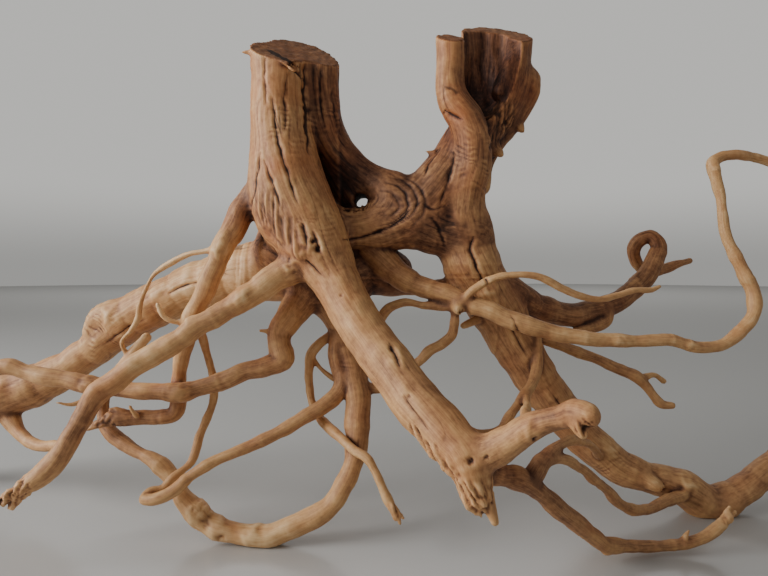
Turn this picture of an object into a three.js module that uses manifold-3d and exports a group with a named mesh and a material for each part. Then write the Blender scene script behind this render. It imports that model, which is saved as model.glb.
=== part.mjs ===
// A dry root: the root stock of a small tree, washed, dried and sawn off above the ground.
// Two sawn stumps stand on one saddle of wood, and the roots spread from it and carry it.
// It grew as one piece, so it is one solid.
//
// Millimetres, +Z up, +Y away from the viewer, the floor at z = 0.
// Each limb is a centre line of stations [x, y, z, radius], from its thick end to its tip.
// Limbs are drawn about a point between the two stumps' feet, and the whole is then
// centred over its own footprint.

import * as THREE from "three";
import Module from "manifold-3d";
import { mergeVertices } from "three/addons/utils/BufferGeometryUtils.js";

// ---- driving dimensions ----------------------------------------------------------------

const STEP_IN_RADII = 2; // from one ring of a limb to the next
const SHORTEST_STEP = 12;
const RING_SEARCH = 0.05; // of the way from one station to the next
const TIP_LENGTH_IN_RADII = 0.6; // how far a limb's rounded end stands past its last station
const SECTION_SIDES = [
  { upTo: 3.2, sides: 4 },
  { upTo: 7.5, sides: 5 },
  { upTo: 13, sides: 6 },
  { upTo: 22, sides: 8 },
  { upTo: Infinity, sides: 12 },
];
const SAW_WASTE = { width: 160, depth: 320, height: 160 }; // the block above a saw cut
const FLOOR_SLAB = { side: 2000, thickness: 100 };

// A saw cut is the plane z = height + slopeX (x - at.x) + slopeY (y - at.y).
const LEFT_SAW_CUT = { at: [-88, 5], height: 467, slopeX: -0.27, slopeY: 0.6 };
const RIGHT_SAW_CUT = { at: [105, 10], height: 486, slopeX: -0.08, slopeY: 0.6 };

// ---- the two stumps and the saddle -----------------------------------------------------

const STUMPS = {
  front_column_and_leg: [
    [-104, -8, 500, 27.5],
    [-104, -8, 428, 26.5],
    [-100, -10, 376, 29],
    [-94, -14, 341, 32.5],
    [-80, -18, 306, 33],
    [-63, -26, 272, 29],
    [-46, -38, 239, 22.5],
    [-29, -54, 210, 20.5],
    [-10, -72, 185, 20],
    [7, -90, 164, 20],
    [23, -108, 145, 19.5],
    [38, -124, 131, 19.5],
    [52, -138, 118, 19],
    [61, -147, 109, 17.5],
    [65, -153, 98, 14],
    [67, -156, 88, 11.5],
    [68, -158, 83, 9.5],
  ],
  back_column: [
    [-87, 22, 510, 31],
    [-87, 24, 435, 31],
    [-88, 26, 384, 28],
    [-94, 30, 342, 27],
    [-98, 30, 300, 30],
    [-98, 25, 258, 32],
  ],
  right_flute: [
    [-64, 8, 500, 18],
    [-64, 8, 430, 17],
    [-60, 8, 400, 16.5],
    [-52, 10, 378, 15.5],
    [-39, 12, 360, 15],
    [-20, 12, 344, 15],
    [0, 8, 331, 18],
    [18, 5, 317, 24],
    [38, 5, 300, 28],
    [61, 5, 289, 27],
    [84, 4, 283, 25],
  ],
  saddle: [
    [-76, 4, 290, 26],
    [-39, 2, 286, 16],
    [-12, 2, 286, 17],
    [14, 2, 294, 24],
    [44, 4, 314, 29],
    [64, 8, 339, 29],
    [80, 12, 365, 26],
    [97, 18, 394, 27],
    [112, 24, 425, 34],
    [117, 26, 457, 35],
    [119, 26, 530, 36],
  ],
  front_stem: [
    [65, -12, 500, 12],
    [65, -12, 454, 12],
    [64.5, -13, 426, 12.5],
    [69, -15, 410, 14.5],
    [80, -16, 394, 16],
    [86, -16, 375, 16.5],
    [86, -15, 353, 16.5],
    [81, -12, 331, 16.5],
    [79, -6, 307, 18],
    [82, 0, 283, 20],
  ],
  stump_skirt: [
    [-108, -8, 372, 17],
    [-110, -12, 346, 20],
    [-110, -14, 322, 22],
    [-102, -20, 302, 22],
    [-90, -26, 286, 20],
    [-76, -32, 270, 18],
  ],
  cleft_back: [
    [-68, 26, 425, 16],
    [-62, 28, 392, 18],
    [-50, 28, 362, 20],
    [-36, 26, 338, 20],
    [-20, 24, 318, 20],
    [0, 16, 302, 20],
  ],
  swirl: [
    [-46, 2, 298, 12],
    [-26, -2, 294, 13],
    [-6, -4, 299, 15],
    [8, -3, 312, 17],
    [6, 2, 328, 16],
  ],
  side_lobe: [
    [126, 26, 394, 10],
    [139, 26, 415, 13],
    [148, 24, 434, 13.5],
    [151, 24, 446, 12],
  ],
  back_ridge: [
    [130, 26, 403, 10],
    [117, 24, 381, 9],
    [107, 20, 360, 8],
    [98, 14, 335, 10],
  ],
  core: [
    [-101, 15, 263, 30],
    [-76, 16, 250, 34],
    [-55, 16, 234, 33],
    [-20, 24, 246, 25],
    [6, 25, 245, 22],
  ],
  back_bridge: [
    [1, 25, 243, 20],
    [27, 26, 231, 9.5],
    [48, 26, 230, 7.5],
    [70, 20, 231, 9.5],
    [88, 12, 231, 14],
  ],
};

// The rotted hollow that opens the right stump to the front.
const STUMP_HOLLOW = [
  [105, 6, 560, 27],
  [105, 6, 460, 26],
  [100, 4, 431, 21],
  [98, 2, 414, 12],
  [100, 0, 404, 5],
];

// ---- the roots that carry it -----------------------------------------------------------

const LEGS = {
  right_leg: [
    [76, 2, 313, 21],
    [80, 3, 285, 21.5],
    [88, 6, 256, 26.5],
    [103, 8, 226, 26.5],
    [121, 8, 196, 25.5],
    [138, 8, 167, 23.5],
    [153, 8, 141, 21.5],
    [170, 8, 116, 20.5],
    [191, 8, 92, 19.5],
    [213, 8, 69, 18.5],
    [237, 8, 50, 17],
    [265, 8, 39, 14.5],
    [288, 8, 33, 15.5],
    [309, 9, 24, 18.5],
    [334, 10, 10.4, 14.2],
    [359, 14, 18.6, 14],
    [385, 22, 29, 13.5],
    [406, 30, 40, 13],
    [428, 38, 54, 12],
    [448, 44, 72, 10.5],
  ],
  right_heel: [
    [322, 9, 14, 15.4],
    [346, 12, 12, 14.4],
  ],
  big_left_root: [
    [-87, 22, 256, 30],
    [-114, 26, 248, 29.5],
    [-144, 32, 244, 28.5],
    [-173, 38, 238, 27],
    [-200, 44, 231, 25.5],
    [-230, 50, 218, 24.5],
    [-258, 55, 205, 24.5],
    [-287, 60, 189, 23.5],
    [-308, 63, 172, 20.5],
    [-328, 66, 156, 18.5],
    [-351, 68, 140, 18.5],
    [-380, 70, 124, 21.5],
    [-412, 72, 112, 25],
    [-442, 74, 101, 25.5],
    [-470, 78, 84, 22],
    [-496, 84, 60, 19],
    [-518, 90, 34, 16.5],
    [-537, 97, 4, 13.5],
  ],
  hoop: [
    [-60, 10, 228, 20],
    [-46, 6, 199, 15],
    [-38, 2, 173, 12.5],
    [-31, -6, 149, 12.5],
    [-26, -16, 126, 12.5],
    [-25, -26, 105, 12.2],
    [-26, -36, 84, 10.8],
    [-30, -44, 65, 9.2],
    [-40, -50, 45, 9.2],
    [-56, -53, 29, 9.6],
    [-78, -55, 17, 10],
    [-105, -56, 7.8, 9.6],
    [-130, -55, 9.2, 9.3],
    [-153, -52, 14, 9.5],
    [-172, -48, 25, 9.4],
    [-187, -44, 38, 8.2],
    [-196, -38, 50, 7.4],
    [-209, -32, 62, 7.8],
    [-227, -26, 70, 6.5],
    [-247, -20, 78, 6.4],
    [-265, -14, 88, 6.6],
    [-276, -8, 101, 5.8],
    [-279, -2, 116, 5.4],
    [-275, 2, 133, 5.2],
    [-266, 6, 149, 5.2],
    [-254, 10, 165, 4.9],
    [-243, 12, 179, 4.4],
  ],
};

// ---- the roots that reach out free -----------------------------------------------------

const LEFT_ROOTS = {
  diagonal_root: [
    [-66, -22, 262, 18],
    [-82, -28, 253, 15.5],
    [-100, -34, 242, 13.2],
    [-118, -38, 229, 12],
    [-137, -42, 217, 11],
    [-158, -46, 204, 10.2],
    [-179, -50, 191, 10.2],
    [-201, -54, 176, 10.2],
    [-222, -57, 163, 9.8],
    [-240, -60, 150, 9.8],
    [-254, -63, 139, 10],
    [-262, -66, 126, 9.4],
    [-269, -69, 112, 9.2],
    [-276, -72, 97, 9.2],
    [-284, -75, 83, 9.6],
    [-295, -78, 72, 9.4],
    [-306, -81, 64, 8],
    [-316, -84, 57, 6],
    [-325, -86, 53, 4],
    [-331, -87, 50, 2.2],
  ],
  diagonal_root_prong: [
    [-310, -82, 60, 4.5],
    [-314, -83, 51, 3],
    [-316, -84, 46, 2.8],
  ],
  level_root: [
    [-72, 2, 246, 20],
    [-81, -4, 220, 16.5],
    [-92, -10, 203, 13.5],
    [-101, -15, 188, 11.5],
    [-101, -19, 175, 11],
    [-99, -22, 163, 10.8],
    [-111, -24, 156, 9.3],
    [-130, -26, 152, 8.5],
    [-151, -27, 144, 8.4],
    [-175, -28, 136, 8.6],
    [-192, -29, 132, 9.3],
    [-213, -29, 133, 8],
    [-234, -28, 133, 8],
    [-256, -27, 136, 8],
    [-281, -26, 138, 8],
    [-302, -25, 143, 8],
    [-322, -24, 146, 8.6],
    [-341, -23, 150, 7.4],
    [-360, -22, 156, 7.8],
    [-378, -21, 153, 7],
    [-398, -22, 143, 6],
    [-416, -25, 130, 4.6],
    [-430, -28, 118, 3],
  ],
  elbow_twig: [
    [-104, -17, 188, 3],
    [-119, -22, 190, 1.3],
  ],
  steep_root: [
    [-121, -6, 327, 14],
    [-135, -10, 312, 13],
    [-145, -16, 292, 11.8],
    [-156, -22, 267, 10.5],
    [-166, -24, 243, 9.8],
    [-175, -24, 219, 9.6],
    [-186, -22, 198, 9],
    [-192, -19, 178, 7.6],
    [-197, -16, 159, 7.2],
    [-200, -14, 139, 7.2],
    [-200, -14, 121, 7.4],
    [-204, -16, 109, 7.4],
    [-219, -18, 105, 7],
    [-237, -20, 105, 7.2],
    [-253, -22, 106, 7.6],
    [-262, -23, 107, 6.5],
  ],
  steep_root_splinter: [
    [-258, -23, 108, 4.5],
    [-269, -26, 105, 3.6],
    [-277, -28, 102, 2.2],
  ],
  arching_twig: [
    [-155, -24, 269, 4],
    [-172, -22, 266, 3.1],
    [-188, -18, 264, 3],
    [-207, -12, 256, 2.9],
    [-229, -6, 242, 2.8],
    [-237, -4, 228, 2.5],
    [-243, -2, 213, 2.5],
    [-246, 0, 200, 2.7],
    [-254, 2, 187, 2.5],
    [-264, 4, 175, 2.4],
    [-263, 7, 167, 2.2],
    [-257, 9, 159, 2.3],
  ],
  thorn_twig: [
    [-186, -22, 198, 2.8],
    [-200, -28, 199, 2],
    [-208, -30, 203, 1.9],
    [-212, -30, 209, 1.8],
    [-215, -30, 216, 1.3],
  ],
  short_twig: [
    [-280, -4, 115, 2.6],
    [-292, -14, 120, 2.2],
    [-303, -20, 118, 2.1],
    [-313, -24, 121, 1.6],
  ],
  left_root_scar: [
    [-280, 55, 196, 17],
    [-299, 54, 199, 14.5],
    [-314, 54, 194, 10],
    [-321, 54, 183, 6],
  ],
  hook_root: [
    [-424, 70, 97, 14],
    [-411, 62, 79, 9],
    [-393, 52, 66, 7],
    [-374, 42, 61, 6.2],
    [-353, 32, 62, 5.8],
    [-332, 22, 67, 5.4],
    [-315, 14, 76, 4.4],
  ],
};

const MIDDLE_ROOTS = {
  returning_root: [
    [-44, 4, 188, 9],
    [-46, -4, 159, 9],
    [-41, -10, 140, 8.5],
    [-45, -16, 128, 8],
    [-56, -24, 119, 7.2],
    [-72, -32, 111, 6.6],
    [-88, -38, 102, 6.3],
    [-107, -46, 94, 6],
    [-126, -52, 86, 5.7],
    [-146, -58, 79, 5.6],
    [-160, -62, 73, 5.4],
    [-172, -66, 65, 5.2],
    [-181, -69, 57, 5.2],
    [-192, -72, 50, 5.2],
    [-204, -72, 47, 4.9],
    [-211, -69, 47, 4.4],
    [-208, -64, 51, 3.8],
    [-199, -59, 52, 3.8],
    [-192, -55, 60, 4],
    [-184, -50, 65, 3.9],
    [-178, -44, 71, 4.2],
    [-176, -37, 82, 4.4],
    [-174, -29, 94, 4.2],
    [-171, -20, 105, 4.1],
    [-167, -12, 121, 3.8],
    [-168, -8, 138, 3.6],
    [-172, -10, 158, 3.8],
    [-176, -14, 178, 3.8],
    [-180, -18, 195, 4.5],
  ],
  dangling_root: [
    [-40, 8, 182, 6],
    [-54, 6, 181, 4.9],
    [-65, 2, 174, 4.9],
    [-73, -2, 164, 4.8],
    [-74, -6, 151, 4.6],
    [-74, -8, 136, 4.4],
    [-71, -10, 120, 4.3],
    [-65, -14, 107, 4.3],
    [-54, -26, 99, 4.4],
    [-40, -42, 92, 4.5],
    [-27, -53, 85, 4.6],
    [-16, -60, 80, 4.4],
    [-8, -64, 69, 4],
    [-1, -67, 55, 3.8],
    [5, -70, 44, 3.9],
    [10, -72, 32, 2.6],
  ],
  link_twig: [
    [-71, -3, 160, 2.6],
    [-63, -2, 150, 2.3],
    [-50, -2, 140, 2.6],
    [-39, -2, 135, 3],
  ],
  upper_loop: [
    [74, -28, 215, 6],
    [61, -24, 213, 5],
    [40, -20, 214, 4.4],
    [17, -18, 216, 4.2],
    [4, -16, 210, 4.6],
    [-4, -12, 199, 4.6],
    [-8, -4, 173, 4.2],
    [-14, 0, 152, 4],
    [-26, 2, 143, 4.5],
  ],
  lower_loop: [
    [68, -26, 212, 5.5],
    [67, -24, 198, 4.6],
    [65, -22, 186, 4.6],
    [56, -20, 177, 4.6],
    [44, -18, 170, 4.4],
    [36, -16, 161, 4.2],
    [23, -14, 151, 4.3],
    [8, -12, 136, 4.5],
    [-6, -12, 132, 5],
    [-22, -12, 133, 5],
  ],
};

const FRONT_ROOTS = {
  front_arm: [
    [59, -143, 113, 16],
    [74, -151, 114, 14],
    [88, -159, 124, 11.8],
    [100, -167, 135, 10],
    [112, -175, 144, 8.8],
    [123, -184, 149, 8.4],
    [130, -193, 154, 8.8],
    [134, -198, 153.5, 8.2],
  ],
  front_arm_break: [
    [129, -195, 149, 7],
    [129, -198, 145, 5],
    [130, -200, 141, 3.2],
  ],
  front_leg_splinter: [
    [70, -155, 92, 8],
    [75, -158, 81, 6],
    [78, -160, 73, 4.2],
    [80, -161, 67, 3],
  ],
  low_root: [
    [71, -142, 101, 12],
    [87, -137, 93, 8.8],
    [101, -133, 88, 8.6],
    [113, -129, 82, 7.8],
    [127, -124, 70, 7.3],
    [142, -117, 56, 7.1],
    [158, -108, 42, 7.1],
    [173, -98, 28, 7],
    [187, -90, 17, 6.8],
    [207, -82, 11.5, 5.6],
    [228, -78, 10, 5.4],
    [250, -76, 9.5, 5.2],
    [267, -74, 11, 5.3],
    [282, -72, 15.5, 5],
    [295, -70, 23.5, 4.6],
    [304, -68, 31, 3.6],
  ],
  low_root_heel: [
    [186, -90, 16, 5],
    [187, -90, 11.5, 3.6],
  ],
  low_root_stub: [
    [258, -76, 10, 3.4],
    [264, -77, 22, 1.6],
  ],
  upper_fork: [
    [115, -129, 87, 7.4],
    [122, -127, 97, 7],
    [132, -120, 104, 5.8],
    [148, -106, 108, 4.4],
    [169, -80, 101, 3.8],
    [191, -48, 86, 3.8],
    [207, -20, 69, 4],
    [214, -4, 64, 4],
  ],
  lower_fork: [
    [122, -126, 99, 6],
    [138, -118, 99, 4.8],
    [148, -111, 95, 4.5],
    [162, -101, 85, 4.5],
    [179, -88, 70, 4.6],
    [195, -75, 56, 4.6],
    [210, -62, 40, 4.6],
    [230, -50, 29, 4.6],
    [248, -38, 25, 4.7],
    [269, -24, 26, 5],
    [292, -8, 25, 6],
    [303, 4, 25, 6],
  ],
  cross_root: [
    [152, 0, 186, 5],
    [152, -8, 174, 5.4],
    [149, -15, 158, 5.6],
    [143, -27, 145, 5.3],
    [132, -46, 137, 4.8],
    [120, -66, 131, 4.6],
    [108, -84, 124, 4.4],
    [98, -99, 118, 4.2],
    [86, -110, 116, 4],
    [73, -117, 118, 4.2],
    [60, -123, 124, 5],
  ],
  cross_root_prop: [
    [129, -52, 135, 4.2],
    [121, -88, 134, 3.6],
    [110, -128, 136, 3.6],
    [101, -158, 138, 4.2],
  ],
};

const RIGHT_ROOTS = {
  long_root: [
    [-12, 8, 268, 14],
    [0, 2, 256, 14],
    [14, -4, 244, 13],
    [33, -10, 233, 10.5],
    [54, -18, 226, 9.5],
    [74, -26, 219, 9],
    [95, -32, 212, 8.7],
    [118, -36, 202, 8.3],
    [141, -38, 194, 7.9],
    [164, -38, 188, 7.2],
    [192, -38, 184, 6.4],
    [218, -36, 182, 6],
    [246, -34, 182, 5.5],
    [270, -32, 182, 5.5],
    [290, -30, 176, 5.7],
    [308, -28, 174, 6],
    [328, -24, 178, 5.9],
    [345, -20, 190, 6],
    [360, -16, 207, 6.2],
    [362, -12, 223, 6.2],
    [356, -10, 242, 5.9],
    [347, -8, 261, 5.6],
    [340, -6, 278, 5.3],
    [337, -4, 298, 5],
    [336, -2, 320, 4.8],
    [331, 0, 340, 5.2],
    [329, 2, 353, 5.6],
    [339, 6, 361, 5.2],
    [357, 10, 365, 4.8],
    [373, 14, 365, 4.9],
    [395, 18, 360, 4.8],
    [418, 24, 353, 4.3],
    [440, 30, 353, 3.2],
  ],
  high_twig: [
    [74, -29, 216, 6.5],
    [81, -36, 227, 4.6],
    [91, -40, 235, 4.2],
    [107, -44, 242, 3.9],
    [127, -46, 244, 3.7],
    [143, -46, 242, 3.6],
    [163, -44, 232, 3.3],
    [182, -40, 224, 3.4],
    [202, -36, 221, 3.1],
    [222, -30, 224, 3.2],
    [240, -26, 229, 3],
    [258, -22, 229, 2.7],
    [266, -20, 232, 2],
  ],
  curl_root: [
    [124, 14, 227, 17],
    [150, 26, 214, 15],
    [175, 38, 204, 13.4],
    [205, 52, 200, 12.8],
    [235, 64, 203, 12.2],
    [262, 74, 212, 11.4],
    [283, 82, 224, 10.8],
    [302, 88, 240, 10.2],
    [315, 92, 259, 9.6],
    [320, 96, 278, 8.8],
    [313, 101, 288, 8.2],
    [302, 107, 283, 7.8],
    [298, 113, 270, 7.4],
    [305, 118, 255, 7.2],
    [323, 124, 246, 7],
    [344, 131, 249, 6.6],
    [363, 137, 255, 5.4],
    [381, 143, 259, 4.2],
  ],
  curl_knuckle: [
    [245, 66, 205, 9],
    [245, 62, 194, 8.8],
    [231, 56, 187, 7],
    [214, 48, 183, 4.5],
    [199, 42, 179, 3],
  ],
  forked_root: [
    [134, 14, 192, 10],
    [161, 20, 178, 6.4],
    [183, 22, 170, 5.6],
    [204, 24, 162, 5.6],
    [227, 25, 153, 5.7],
    [249, 26, 143, 5.9],
    [265, 26, 136, 6.2],
    [274, 25, 127, 5],
    [281, 24, 117, 4.4],
    [289, 23, 108, 4.2],
    [299, 22, 107, 3],
  ],
  forked_root_stub: [
    [270, 28, 135, 4.5],
    [285, 32, 137, 3.4],
    [297, 36, 130, 3.2],
  ],
  leg_stub: [
    [92, -8, 200, 5],
    [77, -15, 194, 3],
  ],
};

// ---- solids ----------------------------------------------------------------------------

const wasm = await Module();
wasm.setup();

// A three.js geometry as a manifold-3d solid.
function solidOf(geometry) {
  const bare = new THREE.BufferGeometry().setAttribute(
    "position",
    geometry.getAttribute("position"),
  );
  bare.setIndex(geometry.getIndex());
  const merged = mergeVertices(bare, 1e-3);
  const corners = merged.getIndex().array;
  const triVerts = [];
  for (let i = 0; i < corners.length; i += 3) {
    const [a, b, c] = corners.subarray(i, i + 3);
    if (a !== b && b !== c && c !== a) triVerts.push(a, b, c);
  }
  return new wasm.Manifold(
    new wasm.Mesh({
      numProp: 3,
      vertProperties: merged.getAttribute("position").array,
      triVerts: new Uint32Array(triVerts),
    }),
  );
}

// The rings of a limb, spaced by its thickness along a smooth line through its stations.
function ringsOf(stations) {
  const line = new THREE.CatmullRomCurve3(
    stations.map(([x, y, z]) => new THREE.Vector3(x, y, z)),
    false,
    "centripetal",
  );
  const spans = stations.length - 1;
  const ringAt = (place) => {
    const here = Math.min(Math.floor(place), spans - 1);
    const [from, to] = [stations[here][3], stations[here + 1][3]];
    return {
      centre: line.getPoint(place / spans),
      along: line.getTangent(place / spans),
      radius: THREE.MathUtils.lerp(from, to, place - here),
    };
  };
  const rings = [ringAt(0)];
  for (let place = RING_SEARCH; place < spans; place += RING_SEARCH) {
    const ring = ringAt(place);
    const gap = ring.centre.distanceTo(rings[rings.length - 1].centre);
    if (gap >= Math.max(SHORTEST_STEP, STEP_IN_RADII * ring.radius)) {
      rings.push(ring);
    }
  }
  const last = ringAt(spans);
  const gap = last.centre.distanceTo(rings[rings.length - 1].centre);
  if (rings.length > 1 && gap < SHORTEST_STEP / 2) rings.pop();
  return [...rings, last];
}

// How much wider than a circle a polygon of so many sides is, for the same area.
function sameAreaAsRound(sides) {
  const turn = (2 * Math.PI) / sides;
  return Math.sqrt(turn / Math.sin(turn));
}

// A limb: a lathe of unit radius with one ring per station, carried to the centre line.
// The frame turns from ring to ring by the least that keeps it square to the line.
function limbSolid(stations) {
  const rings = ringsOf(stations);
  const thickest = Math.max(...rings.map((ring) => ring.radius));
  const { sides } = SECTION_SIDES.find(({ upTo }) => thickest <= upTo);
  const fullness = sameAreaAsRound(sides);
  const first = rings[0];
  const last = rings[rings.length - 1];

  const profile = [
    new THREE.Vector2(0, -1),
    ...rings.map((_, i) => new THREE.Vector2(1, i)),
    new THREE.Vector2(0, rings.length),
  ];
  const lathe = new THREE.LatheGeometry(profile, sides);

  const across = new THREE.Vector3(0, 1, 0).cross(first.along);
  if (across.length() < 0.1) across.set(1, 0, 0);
  const frames = rings.map(({ along }) => {
    across.addScaledVector(along, -across.dot(along)).normalize();
    return { across: across.clone(), up: across.clone().cross(along) };
  });

  const position = lathe.getAttribute("position");
  const point = new THREE.Vector3();
  for (let i = 0; i < position.count; i++) {
    const station = Math.round(position.getY(i));
    if (station < 0) {
      const reach = -TIP_LENGTH_IN_RADII * first.radius;
      point.copy(first.centre).addScaledVector(first.along, reach);
    } else if (station === rings.length) {
      const reach = TIP_LENGTH_IN_RADII * last.radius;
      point.copy(last.centre).addScaledVector(last.along, reach);
    } else {
      const { centre, radius } = rings[station];
      const { across: u, up: v } = frames[station];
      point
        .copy(centre)
        .addScaledVector(u, fullness * radius * position.getX(i))
        .addScaledVector(v, fullness * radius * position.getZ(i));
    }
    position.setXYZ(i, point.x, point.y, point.z);
  }
  const solid = solidOf(lathe);
  if (solid.volume() < 0) throw new Error("a limb is inside out");
  return solid;
}

// The wood above a saw cut: a block whose underside lies on the cut's plane.
function sawWaste({ at, height, slopeX, slopeY }) {
  const normal = new THREE.Vector3(-slopeX, -slopeY, 1).normalize();
  const turn = new THREE.Quaternion().setFromUnitVectors(
    new THREE.Vector3(0, 0, 1),
    normal,
  );
  const block = new THREE.BoxGeometry(
    SAW_WASTE.width,
    SAW_WASTE.depth,
    SAW_WASTE.height,
  )
    .translate(0, 0, SAW_WASTE.height / 2)
    .applyQuaternion(turn)
    .translate(at[0], at[1], height);
  return solidOf(block);
}

// What lies under the floor: the feet are worn flat where they stand on it.
function underFloor() {
  const { side, thickness } = FLOOR_SLAB;
  const slab = new THREE.BoxGeometry(side, side, thickness);
  return solidOf(slab.translate(0, 0, -thickness / 2));
}

function rootSolid() {
  const groups = [
    STUMPS,
    LEGS,
    LEFT_ROOTS,
    MIDDLE_ROOTS,
    FRONT_ROOTS,
    RIGHT_ROOTS,
  ];
  const limbs = groups.flatMap((group) => Object.values(group));
  return limbs
    .map(limbSolid)
    .reduce((whole, limb) => whole.add(limb))
    .subtract(limbSolid(STUMP_HOLLOW))
    .subtract(sawWaste(LEFT_SAW_CUT))
    .subtract(sawWaste(RIGHT_SAW_CUT))
    .subtract(underFloor());
}

// ---- the scene graph -------------------------------------------------------------------

function geometryOf(solid) {
  const { numProp, numVert, vertProperties, triVerts } = solid.getMesh();
  const points = new Float32Array(numVert * 3);
  for (let i = 0; i < numVert; i++)
    points.set(vertProperties.subarray(i * numProp, i * numProp + 3), i * 3);
  const geometry = new THREE.BufferGeometry();
  geometry.setAttribute("position", new THREE.BufferAttribute(points, 3));
  geometry.setIndex(new THREE.BufferAttribute(triVerts, 1));
  geometry.computeVertexNormals();
  return geometry;
}

const dryWood = new THREE.MeshStandardMaterial({
  color: 0xb48a5e,
  roughness: 0.62,
  metalness: 0,
});

const root = new THREE.Mesh(geometryOf(rootSolid()), dryWood);
root.name = "root";

const middle = new THREE.Box3().setFromObject(root).getCenter(new THREE.Vector3());
root.position.set(-middle.x, -middle.y, 0);

const part = new THREE.Group();
part.name = "dry_root";
part.add(root);

export default part;
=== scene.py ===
"""Blender add-on, run as a script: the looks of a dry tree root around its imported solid.

The root is drawn as limbs, in millimetres, and each limb is a row of stations (x, y, z, radius).
Their distance field is melted together, cut and skinned, and the skin is then carved with the
ridges, ripples, cracks and pits of dry wood. Metres, +Z up, the floor at z = 0.
"""

import math

import bpy
import numpy as np
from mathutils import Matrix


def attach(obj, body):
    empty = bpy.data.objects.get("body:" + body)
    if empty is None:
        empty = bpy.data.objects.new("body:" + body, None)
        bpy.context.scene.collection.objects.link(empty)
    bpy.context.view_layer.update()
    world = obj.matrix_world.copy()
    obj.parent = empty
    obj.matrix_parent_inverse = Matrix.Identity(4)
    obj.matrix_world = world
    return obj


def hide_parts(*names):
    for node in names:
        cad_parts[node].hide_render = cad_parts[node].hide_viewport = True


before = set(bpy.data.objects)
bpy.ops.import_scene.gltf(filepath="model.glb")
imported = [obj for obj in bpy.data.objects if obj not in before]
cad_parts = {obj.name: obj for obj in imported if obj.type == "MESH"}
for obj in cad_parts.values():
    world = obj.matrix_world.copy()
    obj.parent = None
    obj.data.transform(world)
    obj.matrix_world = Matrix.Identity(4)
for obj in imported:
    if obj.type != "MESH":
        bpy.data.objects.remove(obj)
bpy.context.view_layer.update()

import openvdb
from mathutils import Matrix, Vector

bl_info = {
    "name": "Dry root",
    "version": (1, 0, 0),
    "blender": (4, 5, 0),
    "location": "3D View > Sidebar > Root",
    "description": "Builds a dry tree root with two sawn stumps",
    "category": "Add Mesh",
}

MM = 0.001
SEED = 11
LIMB_SEEDS = 20  # seeds that the wood of each limb may use
LINE_SEEDS = 50  # and those between one limb's line and the next one's
DRAWING_TO_FRAME = (46.5, 28.1, 0.0)  # from the point the limbs are drawn about, mm
LINE_STEP = 0.45  # distance between a limb's close stations, as a share of its radius
STEP_LIMITS = (2.0, 6.0)  # least and most of that distance, mm
CUTTER_STEP = 4.0  # the same distance on what hollows the wood out, mm
CUTTER_MELT = 4.0  # width of the rounding where something is hollowed out, mm
RIDGE_MELT = 5.0  # width of the fillet along the tongue in the hollow, mm
LEAST_MELT = 1.5  # least width of the fillet between two limbs, mm
WANDER_LENGTH = 26  # length of the waves in a limb's line, mm
SWELL_LENGTH = 17  # length of the swellings in its girth, mm
BURL_LENGTH = 9  # length of its small knobs, mm
GRID_ROOM = 24.0  # empty cells round the limbs, mm
CELLS_UNDER_FLOOR = 4
NEAREST_BATCH = 20000  # points compared with a run at one time
BLEND_REACH = 7.0  # how far from a limb its relief still counts, mm
BLEND_FADE = 1.5  # distance over which it fades, mm
WALL_STEP = 6.0  # distance between the stations that the hollow's walls are looked for from, mm
WALL_REACH = 4.0  # how far from the hollow its walls still count, mm

# ---- the limbs, mm ---------------------------------------------------------------------

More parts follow.
